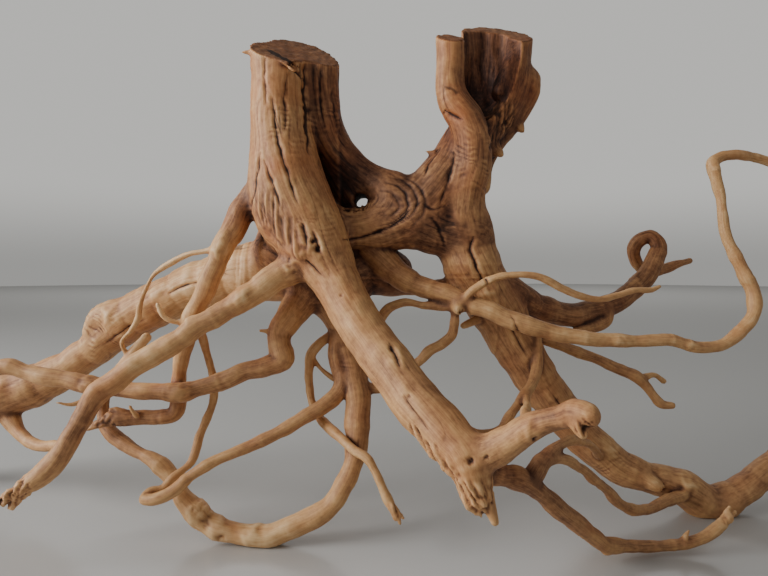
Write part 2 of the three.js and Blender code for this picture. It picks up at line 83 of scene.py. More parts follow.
STUMPS = {
    "front_column_and_leg": (
        (-104, -8, 500, 27.5), (-104, -8, 428, 26.5), (-100, -10, 376, 29), (-94, -14, 341, 32.5),
        (-80, -18, 306, 33), (-63, -26, 272, 29), (-46, -38, 239, 22.5), (-29, -54, 210, 20.5),
        (-10, -72, 185, 20), (7, -90, 164, 20), (23, -108, 145, 19.5), (38, -124, 131, 19.5),
        (52, -138, 118, 19), (61, -147, 109, 17.5), (65, -153, 98, 14), (67, -156, 88, 11.5),
        (68, -158, 83, 9.5),
    ),
    "back_column": (
        (-87, 22, 510, 31), (-87, 24, 435, 31), (-88, 26, 384, 28), (-94, 30, 342, 27),
        (-98, 30, 300, 30), (-98, 25, 258, 32),
    ),
    "right_flute": (
        (-64, 8, 500, 18), (-64, 8, 430, 17), (-60, 8, 400, 16.5), (-52, 10, 378, 15.5),
        (-39, 12, 360, 15), (-20, 12, 344, 15), (0, 8, 331, 18), (18, 5, 317, 24), (38, 5, 300, 28),
        (61, 5, 289, 27), (84, 4, 283, 25),
    ),
    "saddle": (
        (-76, 4, 290, 26), (-39, 2, 286, 16), (-12, 2, 286, 17), (14, 2, 294, 24), (44, 4, 314, 29),
        (64, 8, 339, 29), (80, 12, 365, 26), (97, 18, 394, 27), (112, 24, 425, 34),
        (117, 26, 457, 35), (119, 26, 530, 36),
    ),
    "front_stem": (
        (65, -12, 500, 12), (65, -12, 454, 12), (64.5, -13, 426, 12.5), (69, -15, 410, 14.5),
        (80, -16, 394, 16), (86, -16, 375, 16.5), (86, -15, 353, 16.5), (81, -12, 331, 16.5),
        (79, -6, 307, 18), (82, 0, 283, 20),
    ),
    "stump_skirt": (
        (-108, -8, 372, 17), (-110, -12, 346, 20), (-110, -14, 322, 22), (-102, -20, 302, 22),
        (-90, -26, 286, 20), (-76, -32, 270, 18),
    ),
    "cleft_back": (
        (-68, 26, 425, 16), (-62, 28, 392, 18), (-50, 28, 362, 20), (-36, 26, 338, 20),
        (-20, 24, 318, 20), (0, 16, 302, 20),
    ),
    "swirl": (
        (-46, 2, 298, 12), (-26, -2, 294, 13), (-6, -4, 299, 15), (8, -3, 312, 17), (6, 2, 328, 16),
    ),
    "side_lobe": (
        (126, 26, 394, 10), (139, 26, 415, 13), (148, 24, 434, 13.5), (151, 24, 446, 12),
    ),
    "back_ridge": (
        (130, 26, 403, 10), (117, 24, 381, 9), (107, 20, 360, 8), (98, 14, 335, 10),
    ),
    "core": (
        (-101, 15, 263, 30), (-76, 16, 250, 34), (-55, 16, 234, 33), (-20, 24, 246, 25),
        (6, 25, 245, 22),
    ),
    "back_bridge": (
        (1, 25, 243, 20), (27, 26, 231, 9.5), (48, 26, 230, 7.5), (70, 20, 231, 9.5),
        (88, 12, 231, 14),
    ),
}
LEGS = {
    "right_leg": (
        (76, 2, 313, 21), (80, 3, 285, 21.5), (88, 6, 256, 26.5), (103, 8, 226, 26.5),
        (121, 8, 196, 25.5), (138, 8, 167, 23.5), (153, 8, 141, 21.5), (170, 8, 116, 20.5),
        (191, 8, 92, 19.5), (213, 8, 69, 18.5), (237, 8, 50, 17), (265, 8, 39, 14.5),
        (288, 8, 33, 15.5), (309, 9, 24, 18.5), (334, 10, 10.4, 14.2), (359, 14, 18.6, 14),
        (385, 22, 29, 13.5), (406, 30, 40, 13), (428, 38, 54, 12), (448, 44, 72, 10.5),
    ),
    "right_heel": (
        (322, 9, 14, 15.4), (346, 12, 12, 14.4),
    ),
    "big_left_root": (
        (-87, 22, 256, 30), (-114, 26, 248, 29.5), (-144, 32, 244, 28.5), (-173, 38, 238, 27),
        (-200, 44, 231, 25.5), (-230, 50, 218, 24.5), (-258, 55, 205, 24.5), (-287, 60, 189, 23.5),
        (-308, 63, 172, 20.5), (-328, 66, 156, 18.5), (-351, 68, 140, 18.5), (-380, 70, 124, 21.5),
        (-412, 72, 112, 25), (-442, 74, 101, 25.5), (-470, 78, 84, 22), (-496, 84, 60, 19),
        (-518, 90, 34, 16.5), (-537, 97, 4, 13.5),
    ),
    "hoop": (
        (-60, 10, 228, 20), (-46, 6, 199, 15), (-38, 2, 173, 12.5), (-31, -6, 149, 12.5),
        (-26, -16, 126, 12.5), (-25, -26, 105, 12.2), (-26, -36, 84, 10.8), (-30, -44, 65, 9.2),
        (-40, -50, 45, 9.2), (-56, -53, 29, 9.6), (-78, -55, 17, 10), (-105, -56, 7.8, 9.6),
        (-130, -55, 9.2, 9.3), (-153, -52, 14, 9.5), (-172, -48, 25, 9.4), (-187, -44, 38, 8.2),
        (-196, -38, 50, 7.4), (-209, -32, 62, 7.8), (-227, -26, 70, 6.5), (-247, -20, 78, 6.4),
        (-265, -14, 88, 6.6), (-276, -8, 101, 5.8), (-279, -2, 116, 5.4), (-275, 2, 133, 5.2),
        (-266, 6, 149, 5.2), (-254, 10, 165, 4.9), (-243, 12, 179, 4.4),
    ),
}
LEFT_ROOTS = {
    "diagonal_root": (
        (-66, -22, 262, 18), (-82, -28, 253, 15.5), (-100, -34, 242, 13.2), (-118, -38, 229, 12),
        (-137, -42, 217, 11), (-158, -46, 204, 10.2), (-179, -50, 191, 10.2),
        (-201, -54, 176, 10.2), (-222, -57, 163, 9.8), (-240, -60, 150, 9.8), (-254, -63, 139, 10),
        (-262, -66, 126, 9.4), (-269, -69, 112, 9.2), (-276, -72, 97, 9.2), (-284, -75, 83, 9.6),
        (-295, -78, 72, 9.4), (-306, -81, 64, 8), (-316, -84, 57, 6), (-325, -86, 53, 4),
        (-331, -87, 50, 2.2),
    ),
    "diagonal_root_prong": (
        (-310, -82, 60, 4.5), (-314, -83, 51, 3), (-316, -84, 46, 2.8),
    ),
    "level_root": (
        (-72, 2, 246, 20), (-81, -4, 220, 16.5), (-92, -10, 203, 13.5), (-101, -15, 188, 11.5),
        (-101, -19, 175, 11), (-99, -22, 163, 10.8), (-111, -24, 156, 9.3), (-130, -26, 152, 8.5),
        (-151, -27, 144, 8.4), (-175, -28, 136, 8.6), (-192, -29, 132, 9.3), (-213, -29, 133, 8),
        (-234, -28, 133, 8), (-256, -27, 136, 8), (-281, -26, 138, 8), (-302, -25, 143, 8),
        (-322, -24, 146, 8.6), (-341, -23, 150, 7.4), (-360, -22, 156, 7.8), (-378, -21, 153, 7),
        (-398, -22, 143, 6), (-416, -25, 130, 4.6), (-430, -28, 118, 3),
    ),
    "elbow_twig": (
        (-104, -17, 188, 3), (-119, -22, 190, 1.3),
    ),
    "steep_root": (
        (-121, -6, 327, 14), (-135, -10, 312, 13), (-145, -16, 292, 11.8), (-156, -22, 267, 10.5),
        (-166, -24, 243, 9.8), (-175, -24, 219, 9.6), (-186, -22, 198, 9), (-192, -19, 178, 7.6),
        (-197, -16, 159, 7.2), (-200, -14, 139, 7.2), (-200, -14, 121, 7.4), (-204, -16, 109, 7.4),
        (-219, -18, 105, 7), (-237, -20, 105, 7.2), (-253, -22, 106, 7.6), (-262, -23, 107, 6.5),
    ),
    "steep_root_splinter": (
        (-258, -23, 108, 4.5), (-269, -26, 105, 3.6), (-277, -28, 102, 2.2),
    ),
    "arching_twig": (
        (-155, -24, 269, 4), (-172, -22, 266, 3.1), (-188, -18, 264, 3), (-207, -12, 256, 2.9),
        (-229, -6, 242, 2.8), (-237, -4, 228, 2.5), (-243, -2, 213, 2.5), (-246, 0, 200, 2.7),
        (-254, 2, 187, 2.5), (-264, 4, 175, 2.4), (-263, 7, 167, 2.2), (-257, 9, 159, 2.3),
    ),
    "thorn_twig": (
        (-186, -22, 198, 2.8), (-200, -28, 199, 2), (-208, -30, 203, 1.9), (-212, -30, 209, 1.8),
        (-215, -30, 216, 1.3),
    ),
    "short_twig": (
        (-280, -4, 115, 2.6), (-292, -14, 120, 2.2), (-303, -20, 118, 2.1), (-313, -24, 121, 1.6),
    ),
    "left_root_scar": (
        (-280, 55, 196, 17), (-299, 54, 199, 14.5), (-314, 54, 194, 10), (-321, 54, 183, 6),
    ),
    "hook_root": (
        (-424, 70, 97, 14), (-411, 62, 79, 9), (-393, 52, 66, 7), (-374, 42, 61, 6.2),
        (-353, 32, 62, 5.8), (-332, 22, 67, 5.4), (-315, 14, 76, 4.4),
    ),
}
MIDDLE_ROOTS = {
    "returning_root": (
        (-44, 4, 188, 9), (-46, -4, 159, 9), (-41, -10, 140, 8.5), (-45, -16, 128, 8),
        (-56, -24, 119, 7.2), (-72, -32, 111, 6.6), (-88, -38, 102, 6.3), (-107, -46, 94, 6),
        (-126, -52, 86, 5.7), (-146, -58, 79, 5.6), (-160, -62, 73, 5.4), (-172, -66, 65, 5.2),
        (-181, -69, 57, 5.2), (-192, -72, 50, 5.2), (-204, -72, 47, 4.9), (-211, -69, 47, 4.4),
        (-208, -64, 51, 3.8), (-199, -59, 52, 3.8), (-192, -55, 60, 4), (-184, -50, 65, 3.9),
        (-178, -44, 71, 4.2), (-176, -37, 82, 4.4), (-174, -29, 94, 4.2), (-171, -20, 105, 4.1),
        (-167, -12, 121, 3.8), (-168, -8, 138, 3.6), (-172, -10, 158, 3.8), (-176, -14, 178, 3.8),
        (-180, -18, 195, 4.5),
    ),
    "dangling_root": (
        (-40, 8, 182, 6), (-54, 6, 181, 4.9), (-65, 2, 174, 4.9), (-73, -2, 164, 4.8),
        (-74, -6, 151, 4.6), (-74, -8, 136, 4.4), (-71, -10, 120, 4.3), (-65, -14, 107, 4.3),
        (-54, -26, 99, 4.4), (-40, -42, 92, 4.5), (-27, -53, 85, 4.6), (-16, -60, 80, 4.4),
        (-8, -64, 69, 4), (-1, -67, 55, 3.8), (5, -70, 44, 3.9), (10, -72, 32, 2.6),
    ),
    "link_twig": (
        (-71, -3, 160, 2.6), (-63, -2, 150, 2.3), (-50, -2, 140, 2.6), (-39, -2, 135, 3),
    ),
    "upper_loop": (
        (74, -28, 215, 6), (61, -24, 213, 5), (40, -20, 214, 4.4), (17, -18, 216, 4.2),
        (4, -16, 210, 4.6), (-4, -12, 199, 4.6), (-8, -4, 173, 4.2), (-14, 0, 152, 4),
        (-26, 2, 143, 4.5),
    ),
    "lower_loop": (
        (68, -26, 212, 5.5), (67, -24, 198, 4.6), (65, -22, 186, 4.6), (56, -20, 177, 4.6),
        (44, -18, 170, 4.4), (36, -16, 161, 4.2), (23, -14, 151, 4.3), (8, -12, 136, 4.5),
        (-6, -12, 132, 5), (-22, -12, 133, 5),
    ),
}
FRONT_ROOTS = {
    "front_arm": (
        (59, -143, 113, 16), (74, -151, 114, 14), (88, -159, 124, 11.8), (100, -167, 135, 10),
        (112, -175, 144, 8.8), (123, -184, 149, 8.4), (130, -193, 154, 8.8),
        (134, -198, 153.5, 8.2),
    ),
    "front_arm_break": (
        (129, -195, 149, 7), (129, -198, 145, 5), (130, -200, 141, 3.2),
    ),
    "front_leg_splinter": (
        (70, -155, 92, 8), (75, -158, 81, 6), (78, -160, 73, 4.2), (80, -161, 67, 3),
    ),
    "low_root": (
        (71, -142, 101, 12), (87, -137, 93, 8.8), (101, -133, 88, 8.6), (113, -129, 82, 7.8),
        (127, -124, 70, 7.3), (142, -117, 56, 7.1), (158, -108, 42, 7.1), (173, -98, 28, 7),
        (187, -90, 17, 6.8), (207, -82, 11.5, 5.6), (228, -78, 10, 5.4), (250, -76, 9.5, 5.2),
        (267, -74, 11, 5.3), (282, -72, 15.5, 5), (295, -70, 23.5, 4.6), (304, -68, 31, 3.6),
    ),
    "low_root_heel": (
        (186, -90, 16, 5), (187, -90, 11.5, 3.6),
    ),
    "low_root_stub": (
        (258, -76, 10, 3.4), (264, -77, 22, 1.6),
    ),
    "upper_fork": (
        (115, -129, 87, 7.4), (122, -127, 97, 7), (132, -120, 104, 5.8), (148, -106, 108, 4.4),
        (169, -80, 101, 3.8), (191, -48, 86, 3.8), (207, -20, 69, 4), (214, -4, 64, 4),
    ),
    "lower_fork": (
        (122, -126, 99, 6), (138, -118, 99, 4.8), (148, -111, 95, 4.5), (162, -101, 85, 4.5),
        (179, -88, 70, 4.6), (195, -75, 56, 4.6), (210, -62, 40, 4.6), (230, -50, 29, 4.6),
        (248, -38, 25, 4.7), (269, -24, 26, 5), (292, -8, 25, 6), (303, 4, 25, 6),
    ),
    "cross_root": (
        (152, 0, 186, 5), (152, -8, 174, 5.4), (149, -15, 158, 5.6), (143, -27, 145, 5.3),
        (132, -46, 137, 4.8), (120, -66, 131, 4.6), (108, -84, 124, 4.4), (98, -99, 118, 4.2),
        (86, -110, 116, 4), (73, -117, 118, 4.2), (60, -123, 124, 5),
    ),
    "cross_root_prop": (
        (129, -52, 135, 4.2), (121, -88, 134, 3.6), (110, -128, 136, 3.6), (101, -158, 138, 4.2),
    ),
}
RIGHT_ROOTS = {
    "long_root": (
        (-12, 8, 268, 14), (0, 2, 256, 14), (14, -4, 244, 13), (33, -10, 233, 10.5),
        (54, -18, 226, 9.5), (74, -26, 219, 9), (95, -32, 212, 8.7), (118, -36, 202, 8.3),
        (141, -38, 194, 7.9), (164, -38, 188, 7.2), (192, -38, 184, 6.4), (218, -36, 182, 6),
        (246, -34, 182, 5.5), (270, -32, 182, 5.5), (290, -30, 176, 5.7), (308, -28, 174, 6),
        (328, -24, 178, 5.9), (345, -20, 190, 6), (360, -16, 207, 6.2), (362, -12, 223, 6.2),
        (356, -10, 242, 5.9), (347, -8, 261, 5.6), (340, -6, 278, 5.3), (337, -4, 298, 5),
        (336, -2, 320, 4.8), (331, 0, 340, 5.2), (329, 2, 353, 5.6), (339, 6, 361, 5.2),
        (357, 10, 365, 4.8), (373, 14, 365, 4.9), (395, 18, 360, 4.8), (418, 24, 353, 4.3),
        (440, 30, 353, 3.2),
    ),
    "high_twig": (
        (74, -29, 216, 6.5), (81, -36, 227, 4.6), (91, -40, 235, 4.2), (107, -44, 242, 3.9),
        (127, -46, 244, 3.7), (143, -46, 242, 3.6), (163, -44, 232, 3.3), (182, -40, 224, 3.4),
        (202, -36, 221, 3.1), (222, -30, 224, 3.2), (240, -26, 229, 3), (258, -22, 229, 2.7),
        (266, -20, 232, 2),
    ),
    "curl_root": (
        (124, 14, 227, 17), (150, 26, 214, 15), (175, 38, 204, 13.4), (205, 52, 200, 12.8),
        (235, 64, 203, 12.2), (262, 74, 212, 11.4), (283, 82, 224, 10.8), (302, 88, 240, 10.2),
        (315, 92, 259, 9.6), (320, 96, 278, 8.8), (313, 101, 288, 8.2), (302, 107, 283, 7.8),
        (298, 113, 270, 7.4), (305, 118, 255, 7.2), (323, 124, 246, 7), (344, 131, 249, 6.6),
        (363, 137, 255, 5.4), (381, 143, 259, 4.2),
    ),
    "curl_knuckle": (
        (245, 66, 205, 9), (245, 62, 194, 8.8), (231, 56, 187, 7), (214, 48, 183, 4.5),
        (199, 42, 179, 3),
    ),
    "forked_root": (
        (134, 14, 192, 10), (161, 20, 178, 6.4), (183, 22, 170, 5.6), (204, 24, 162, 5.6),
        (227, 25, 153, 5.7), (249, 26, 143, 5.9), (265, 26, 136, 6.2), (274, 25, 127, 5),
        (281, 24, 117, 4.4), (289, 23, 108, 4.2), (299, 22, 107, 3),
    ),
    "forked_root_stub": (
        (270, 28, 135, 4.5), (285, 32, 137, 3.4), (297, 36, 130, 3.2),
    ),
    "leg_stub": (
        (92, -8, 200, 5), (77, -15, 194, 3),
    ),
}

# Torn fibres that stand out of the broken ends.
SPLINTERS = {
    "front_leg_block_left": ((62, -152, 96, 6), (60, -156, 84, 4.2), (60, -158, 76, 1.6)),
    "front_leg_block_right": ((69, -156, 90, 5), (69, -159, 79, 3.2), (70, -160, 71, 1.3)),
    "front_leg_tooth": ((65, -156, 88, 5), (65, -159, 78, 3), (66, -160, 73, 1.3)),
    "front_leg_point": ((76, -158, 77, 4.6), (79, -160, 71, 3), (80, -161, 67, 1.6)),
    "front_leg_shred": ((44, -132, 118, 8), (52, -142, 102, 5), (56, -147, 92, 2)),
    "front_leg_shred_back": ((26, -108, 130, 8), (38, -122, 114, 4.5), (44, -129, 106, 1.6)),
    "diagonal_tip": ((-312, -82, 62, 4), (-324, -86, 53, 2.2), (-331, -88, 48, 1.2)),
    "diagonal_tip_low": ((-304, -80, 62, 4), (-316, -84, 51, 2.4), (-320, -85, 46, 1.4)),
    "steep_tip": ((-254, -22, 104, 5), (-268, -27, 101, 3.4), (-281, -30, 97, 1.6)),
    "steep_tip_high": ((-252, -22, 111, 4), (-258, -23, 114, 2.4), (-262, -24, 115, 1.6)),
    "dangling_tip": ((5, -70, 44, 3.2), (12, -73, 33, 1.8), (14, -74, 27, 1.2)),
    "dangling_tip_side": ((6, -70, 42, 2.6), (14, -72, 35, 1.6), (17, -73, 31, 1.2)),
    "saddle_nub": ((52, 2, 363, 6), (46, 2, 366, 2.8), (43, 2, 367, 1.8)),
    "left_rim": ((-120, -14, 456, 5), (-130, -17, 459, 2.4), (-136, -18, 459, 1.3)),
    "gash_splinter": ((-122, -24, 462, 2.6), (-104, -33, 452, 3.2), (-84, -36, 436, 1.8)),
    "neck_spike": ((136, 22, 400, 7), (140, 18, 395, 4), (142, 16, 391, 2)),
    "neck_nub": ((110, 8, 372, 8), (116, 4, 366, 4.5), (118, 3, 364, 2.6)),
    "flank_knob": ((90, 0, 330, 9), (96, -5, 327, 4.5), (98, -6, 326, 2.6)),
    "joint_stub": ((70, -30, 214, 7), (70, -36, 210, 5), (71, -38, 207, 2.5)),
    "leg_flake": ((258, -2, 42, 8), (266, -8, 37, 6), (271, -10, 34, 4)),
    "low_root_tip": ((297, -70, 25, 4.2), (303, -68, 33, 2.8), (305, -67, 39, 1.3)),
    "low_root_tip_side": ((299, -70, 26, 3.6), (307, -67, 31, 2.2), (311, -66, 34, 1.2)),
    "level_root_nub": ((-236, -26, 109, 2.6), (-240, -28, 115, 1.6), (-242, -28, 119, 1.2)),
}

# Spots that swell or sink: (x, y, z, reach, height), mm. A sunk spot is also darker: painted shade.
SPOTS = {
    "knots": (
        (-76, -52, 264, 9, 3.0),
        (-86, -54, 252, 8, 2.0),
        (10, -98, 176, 9, 1.2),
        (-166, -58, 32, 12, 3.0),
        (-148, -62, 14, 10, 2.5),
        (-118, -62, 12, 9, 2.5),
        (148, 20, 440, 12, 2.0),
        (286, 80, 236, 8, 2.0),
        (262, -78, 18, 5, 1.5),
        (300, -4, 36, 10, 4.0),
        (228, -8, 70, 9, 1.6),
        (-292, 42, 200, 14, 3.0),
        (-420, 52, 118, 16, 2.5),
        (-238, 30, 226, 12, 2.0),
        (100, -14, 226, 8, 2.0),
        (218, -38, 182, 6, 1.6),
        (290, -34, 178, 6, 1.6),
        (331, -4, 348, 6, 1.8),
        (356, -14, 240, 7, 1.4),
        (-180, -60, 205, 8, 2.0),
        (-130, -56, 222, 9, 2.0),
        (-156, -32, 266, 9, 2.0),
        (-280, -34, 138, 7, 2.0),
        (-190, -36, 132, 9, 2.5),
        (100, -168, 136, 8, 2.0),
    ),
    "pits": (
        (-88, -52, 257, 3.4, -3.6),
        (-83, -54, 250, 2.8, -3.0),
        (-60, -52, 267, 3.6, -4.6),
        (-64, -52, 274, 2.8, -3.4),
        (30, -132, 136, 2.8, -3.0),
        (62, -164, 112, 3, -2.2),
        (73, -168, 115, 1.8, -1.6),
        (104, -176, 132, 2, -2.0),
        (131, -206, 146, 3, -2.4),
        (-160, -62, 22, 6, -2.0),
        (-146, -62, 10, 5, -2.0),
        (274, -8, 33, 4, -2.4),
        (94, -24, 205, 3, -2.4),
        (72, -38, 208, 3, -3.0),
        (-36, -6, 309, 4, -4.0),
        (-12, -6, 305, 3.5, -3.0),
        (-325, -86, 53, 3.5, -4.0),
        (112, -6, 404, 6, -4.0),
        (124, -6, 394, 5, -4.0),
        (52, 0, 366, 3, -2.0),
        (20, -126, 150, 1.8, -1.4),
        (44, -150, 118, 1.8, -1.6),
        (-38, -66, 226, 1.6, -1.2),
    ),
}

# Cracks as they run over the front, (x, z) in mm, with the half width and the depth of each.
# They are drawn on what lies in front of y = FRONT_LIMIT.
FRONT_LIMIT = 20
CRACKS = {
    "gash": (((-119, 466), (-104, 456), (-90, 445), (-80, 434)), 2.6, 9.0),
    "column_crease": (((-77, 452), (-75, 405), (-73, 383), (-70, 358)), 1.2, 3.4),
    "left_long": (((-104, 412), (-102, 388), (-97, 363), (-88, 335), (-77, 307)), 0.8, 1.8),
    "left_middle": (((-90, 436), (-93, 412), (-92, 378)), 0.5, 1.3),
    "left_outer": (((-115, 360), (-119, 338), (-123, 318), (-128, 304)), 0.7, 1.6),
    "left_low": (((-112, 352), (-104, 329), (-96, 308)), 0.7, 1.6),
    "left_edge": (((-112, 452), (-113, 430), (-111, 404)), 0.4, 1.2),
    "flute_edge": (((-62, 448), (-63, 420), (-59, 390)), 0.6, 1.5),
    "flute_low": (((-50, 430), (-50, 405), (-44, 384)), 0.4, 1.2),
    "knot_a": (((-75, 292), (-71, 280), (-70, 268)), 0.9, 2.2),
    "knot_b": (((-66, 284), (-60, 274), (-57, 264)), 0.7, 2.0),
    "knot_c": (((-72, 258), (-64, 252), (-58, 244)), 0.7, 1.8),
    "swirl_a": (((3, 340), (24, 331), (31, 312), (14, 292), (-11, 285)), 0.36, 1),
    "swirl_b": (((-2, 334), (16, 327), (23, 310), (9, 294), (-8, 290)), 0.43, 1),
    "swirl_c": (((-6, 326), (8, 321), (14, 308), (4, 298)), 0.29, 0.8),
    "swirl_d": (((20, 340), (36, 324), (38, 304), (25, 288)), 0.29, 0.96),
    "fold_line": (((-40, 276), (-14, 282), (12, 293), (26, 306)), 0.8, 2.0),
    "saddle_dark": (((44, 300), (52, 288), (58, 272)), 0.5, 1.4),
    "saddle_split": (((36, 312), (46, 306), (58, 309)), 0.5, 1.2),
    "right_flank": (((56, 372), (46, 356), (39, 340)), 0.6, 1.6),
    "right_long": (((67, 364), (64, 340), (54, 312)), 0.6, 1.6),
    "right_crease": (((56, 402), (64, 396), (73, 391)), 0.8, 2.2),
    "right_low": (((86, 282), (84, 266), (88, 254), (96, 234)), 0.9, 2.0),
    "right_neck": (((98, 408), (101, 394), (104, 380), (103, 362)), 1.1, 3.0),
    "leg_flap": (((3, 188), (9, 180), (11, 172)), 0.8, 2.2),
    "leg_split": (((14, 152), (22, 142), (33, 130)), 0.4, 1.0),
    "right_leg_a": (((116, 208), (126, 188), (138, 166)), 0.5, 1.2),
    "right_leg_b": (((158, 136), (176, 112), (196, 90)), 0.4, 1.0),
}
# The same on the limbs that lie behind y = FAR_LIMIT.
FAR_LIMIT = 8
FAR_CRACKS = {
    "big_root_a": (((-226, 222), (-206, 232), (-186, 236)), 0.7, 1.8),
    "big_root_b": (((-164, 262), (-150, 256), (-136, 246)), 0.6, 1.6),
    "big_root_c": (((-300, 168), (-276, 184), (-252, 196)), 0.5, 1.4),
}

CRACK_ROOM = 6.0  # margin round a crack in which points are tested, mm
CRACK_REACH = 5.0  # how far from a crack the distance to it is kept, mm
CRACK_FLANK = 1.3  # how far its rounded flanks go past its half width, mm

# Stretches where the wood is wrinkled across: (x, y, z, reach, height), mm, and how much the
# wrinkles climb for each millimetre to the left.
WRINKLE_WIDTH = 5.5
WRINKLES = (
    (-90, -36, 376, 34, 0.22, 0.15),
    (-50, -4, 400, 34, 0.22, 0.15),
    (-60, -50, 290, 30, 0.16, 0.15),
    (84, -32, 364, 36, 0.22, 0.15),
    (92, -26, 335, 26, 0.20, 0.15),
    (-306, 50, 176, 40, 0.34, 0.62),
    (10, -14, 300, 30, 0.16, 0.15),
    (228, -6, 60, 36, 0.18, -0.5),
    (-40, -10, 160, 22, 0.14, 0.15),
)

# Stretches where the wood is torn and shows pale rough fibres: (x, y, z, reach, share).
TORN = (
    (66, -156, 86, 19, 1.0),
    (50, -150, 100, 15, 1.0),
    (37, -142, 112, 14, 1.0),
    (26, -134, 122, 11, 0.9),
    (130, -206, 146, 9, 0.8),
    (-316, -84, 58, 20, 0.9),
    (-266, -24, 106, 14, 0.4),
    (118, -2, 400, 22, 0.5),
    (108, -4, 376, 12, 0.4),
    (-108, -36, 306, 24, 0.4),
    (-92, -46, 284, 20, 0.4),
    (-76, -52, 264, 10, 0.6),
    (8, -72, 38, 10, 0.8),
    (304, -68, 32, 12, 0.5),
    (-21, -4, 306, 14, 0.8),
    (-166, -50, 30, 13, 0.3),
)

STUMP_HOLLOW = (
    (105, 6, 560, 27), (105, 6, 460, 26), (100, 4, 431, 21), (98, 2, 414, 12), (100, 0, 404, 5),
)
HOLLOW_MOUTH = (
    (111, -14, 560, 22), (111, -14, 450, 22), (107, -12, 424, 15), (101, -10, 408, 8),
    (97, -8, 400, 4),
)
# A tongue of wood left standing on the hollow's back wall.
HOLLOW_RIDGE = (
    (137, 18, 520, 6), (134, 14, 478, 8), (130, 8, 460, 9), (124, 3, 442, 9.5), (115, 0, 426, 9),
)
SADDLE_HOLE = ((-24, -60, 317, 7), (-23, 0, 318, 7), (-21, 60, 318, 7))

# A saw cut is the plane z = height + slope_x (x - at x) + slope_y (y - at y). It cuts what
# stands between the two x and above SAWN_ABOVE, in mm.
SAWN_ABOVE = 350.0
SAW_CUTS = {
    "left": {"at": (-88, 5), "height": 467, "slopes": (-0.27, 0.6), "between": (-170, 20)},
    "right": {"at": (105, 10), "height": 486, "slopes": (-0.08, 0.6), "between": (20, 190)},
}

# How much lighter or darker than the rest a limb is: partly the wood's own tone, partly painted
# shade on limbs that lie in shadow, such as the back of the cleft, the core, the right flute and
# the roots on the right.
LIMB_TONE_AND_SHADE = {
    "cleft_back": -0.35,
    "swirl": -0.05,
    "front_column_and_leg": 0.08,
    "right_flute": -0.20,
    "back_column": -0.05,
    "saddle": -0.06,
    "front_stem": 0.02,
    "core": -0.20,
    "back_bridge": -0.15,
    "curl_root": -0.20,
    "curl_knuckle": -0.10,
    "steep_root": -0.12,
    "level_root": -0.12,
    "forked_root": -0.12,
    "low_root": -0.10,
    "high_twig": -0.05,
    "upper_fork": -0.14,
    "lower_fork": -0.16,
    "cross_root": -0.10,
    "upper_loop": -0.08,
    "lower_loop": -0.08,
    "arching_twig": -0.12,
    "returning_root": -0.08,
    "diagonal_root": -0.04,
}

# Where the wood is darker or paler: (x, y, z, reach, change). Partly real stains and bleaching,
# partly painted shade where a part lies in shadow, such as the far end of the big left root.
STAINS_AND_SHADE = (
    (-240, -20, 106, 44, -0.26),
    (-200, -14, 130, 40, -0.06),
    (-230, -28, 134, 60, 0.20),
    (-340, -23, 150, 50, 0.14),
    (-96, -12, 200, 40, 0.16),
    (-270, -68, 112, 50, -0.04),
    (-310, -82, 60, 30, 0.08),
    (-180, 40, 236, 60, 0.27),
    (-130, 10, 246, 50, 0.14),
    (-300, 60, 190, 60, 0.06),
    (-104, -36, 400, 60, 0.03),
    (-128, -4, 400, 40, 0.06),
    (-38, 22, 344, 34, -0.2),
    (88, 16, 428, 26, -0.22),
    # painted shade: the far end of the big left root lies in shadow
    (-480, 60, 90, 70, -0.16),
    (-270, -20, 108, 20, -0.14),
    (222, -8, 74, 14, 0.16),
    (130, 10, 440, 60, -0.10),
    (84, -30, 360, 60, -0.10),
    (118, 10, 385, 30, -0.14),
    (20, 0, 300, 50, -0.09),
    (100, 0, 240, 50, 0.06),
    (50, -136, 120, 50, -0.03),
    (120, -190, 150, 40, -0.14),
    (138, -196, 150, 14, -0.14),
    (-250, 44, 208, 40, 0.05),
    (-76, -56, 18, 50, 0.12),
    (-220, -60, 163, 50, 0.06),
    (-97, -40, 304, 40, -0.16),
    (-88, -30, 390, 30, -0.10),
    (-4, -60, 176, 40, -0.08),
    (38, -100, 140, 30, -0.06),
    (-60, -40, 230, 50, -0.05),
    (20, -100, 170, 60, -0.04),
    (110, -130, 86, 30, -0.14),
    (150, -112, 50, 40, -0.10),
    (230, -78, 12, 50, -0.04),
    (290, -70, 24, 26, 0.12),
    (400, 28, 36, 60, -0.10),
    (-140, -56, 14, 60, 0.15),
    (-40, -10, 110, 60, -0.06),
)

# ---- finishes and stage ----------------------------------------------------------------

# Levels of the wood's tone, and the setting that holds each one's colour. The lowest levels are
# reached mostly where painted shade darkens sunk places.
WOOD_TONES = (
    (0.0, "crevice"),
    (0.2, "dark_wood"),
    (0.42, "brown_wood"),
    (0.6, "tan_wood"),
    (0.78, "light_wood"),
    (1.0, "bleached_wood"),
)
SOUND_TONE = 0.57  # of sound wood without a streak or a stain
# Fibres that run along each limb: how wide and how long they are, mm, and how far they change
# the tone.
FIBRES = (
    {"across": 0.909, "along": 20.0, "detail": 3.0, "reach": 0.09},
    {"across": 2.381, "along": 62.5, "detail": 2.0, "reach": 0.06},
)
DUST_GRAIN = 3.846  # width of the specks of dust and wear, mm
RED_PATCH = 45.45  # width of the redder patches, mm
# Redness by height in metres: none on the roots, most at the top of the stumps.
STUMP_RED = {"From Min": 0.22, "From Max": 0.42, "To Min": 0.0, "To Max": 0.42}
LINE_BLUR = 0.25  # half the width of a drawn line's soft edge, mm
TORN_STRENGTH = 0.45  # how much of a torn place shows the colour of fresh fibres
GROOVE_DEPTH = 0.8  # depth of the bump between the palest and the darkest wood, mm
MIX_COLOURS = (6, 7)  # the two colour inputs of a Mix node

HORIZON_FADE = 0.14  # how far up the backdrop goes on getting paler, as a share of straight up
FLOOR_CORNERS = 128
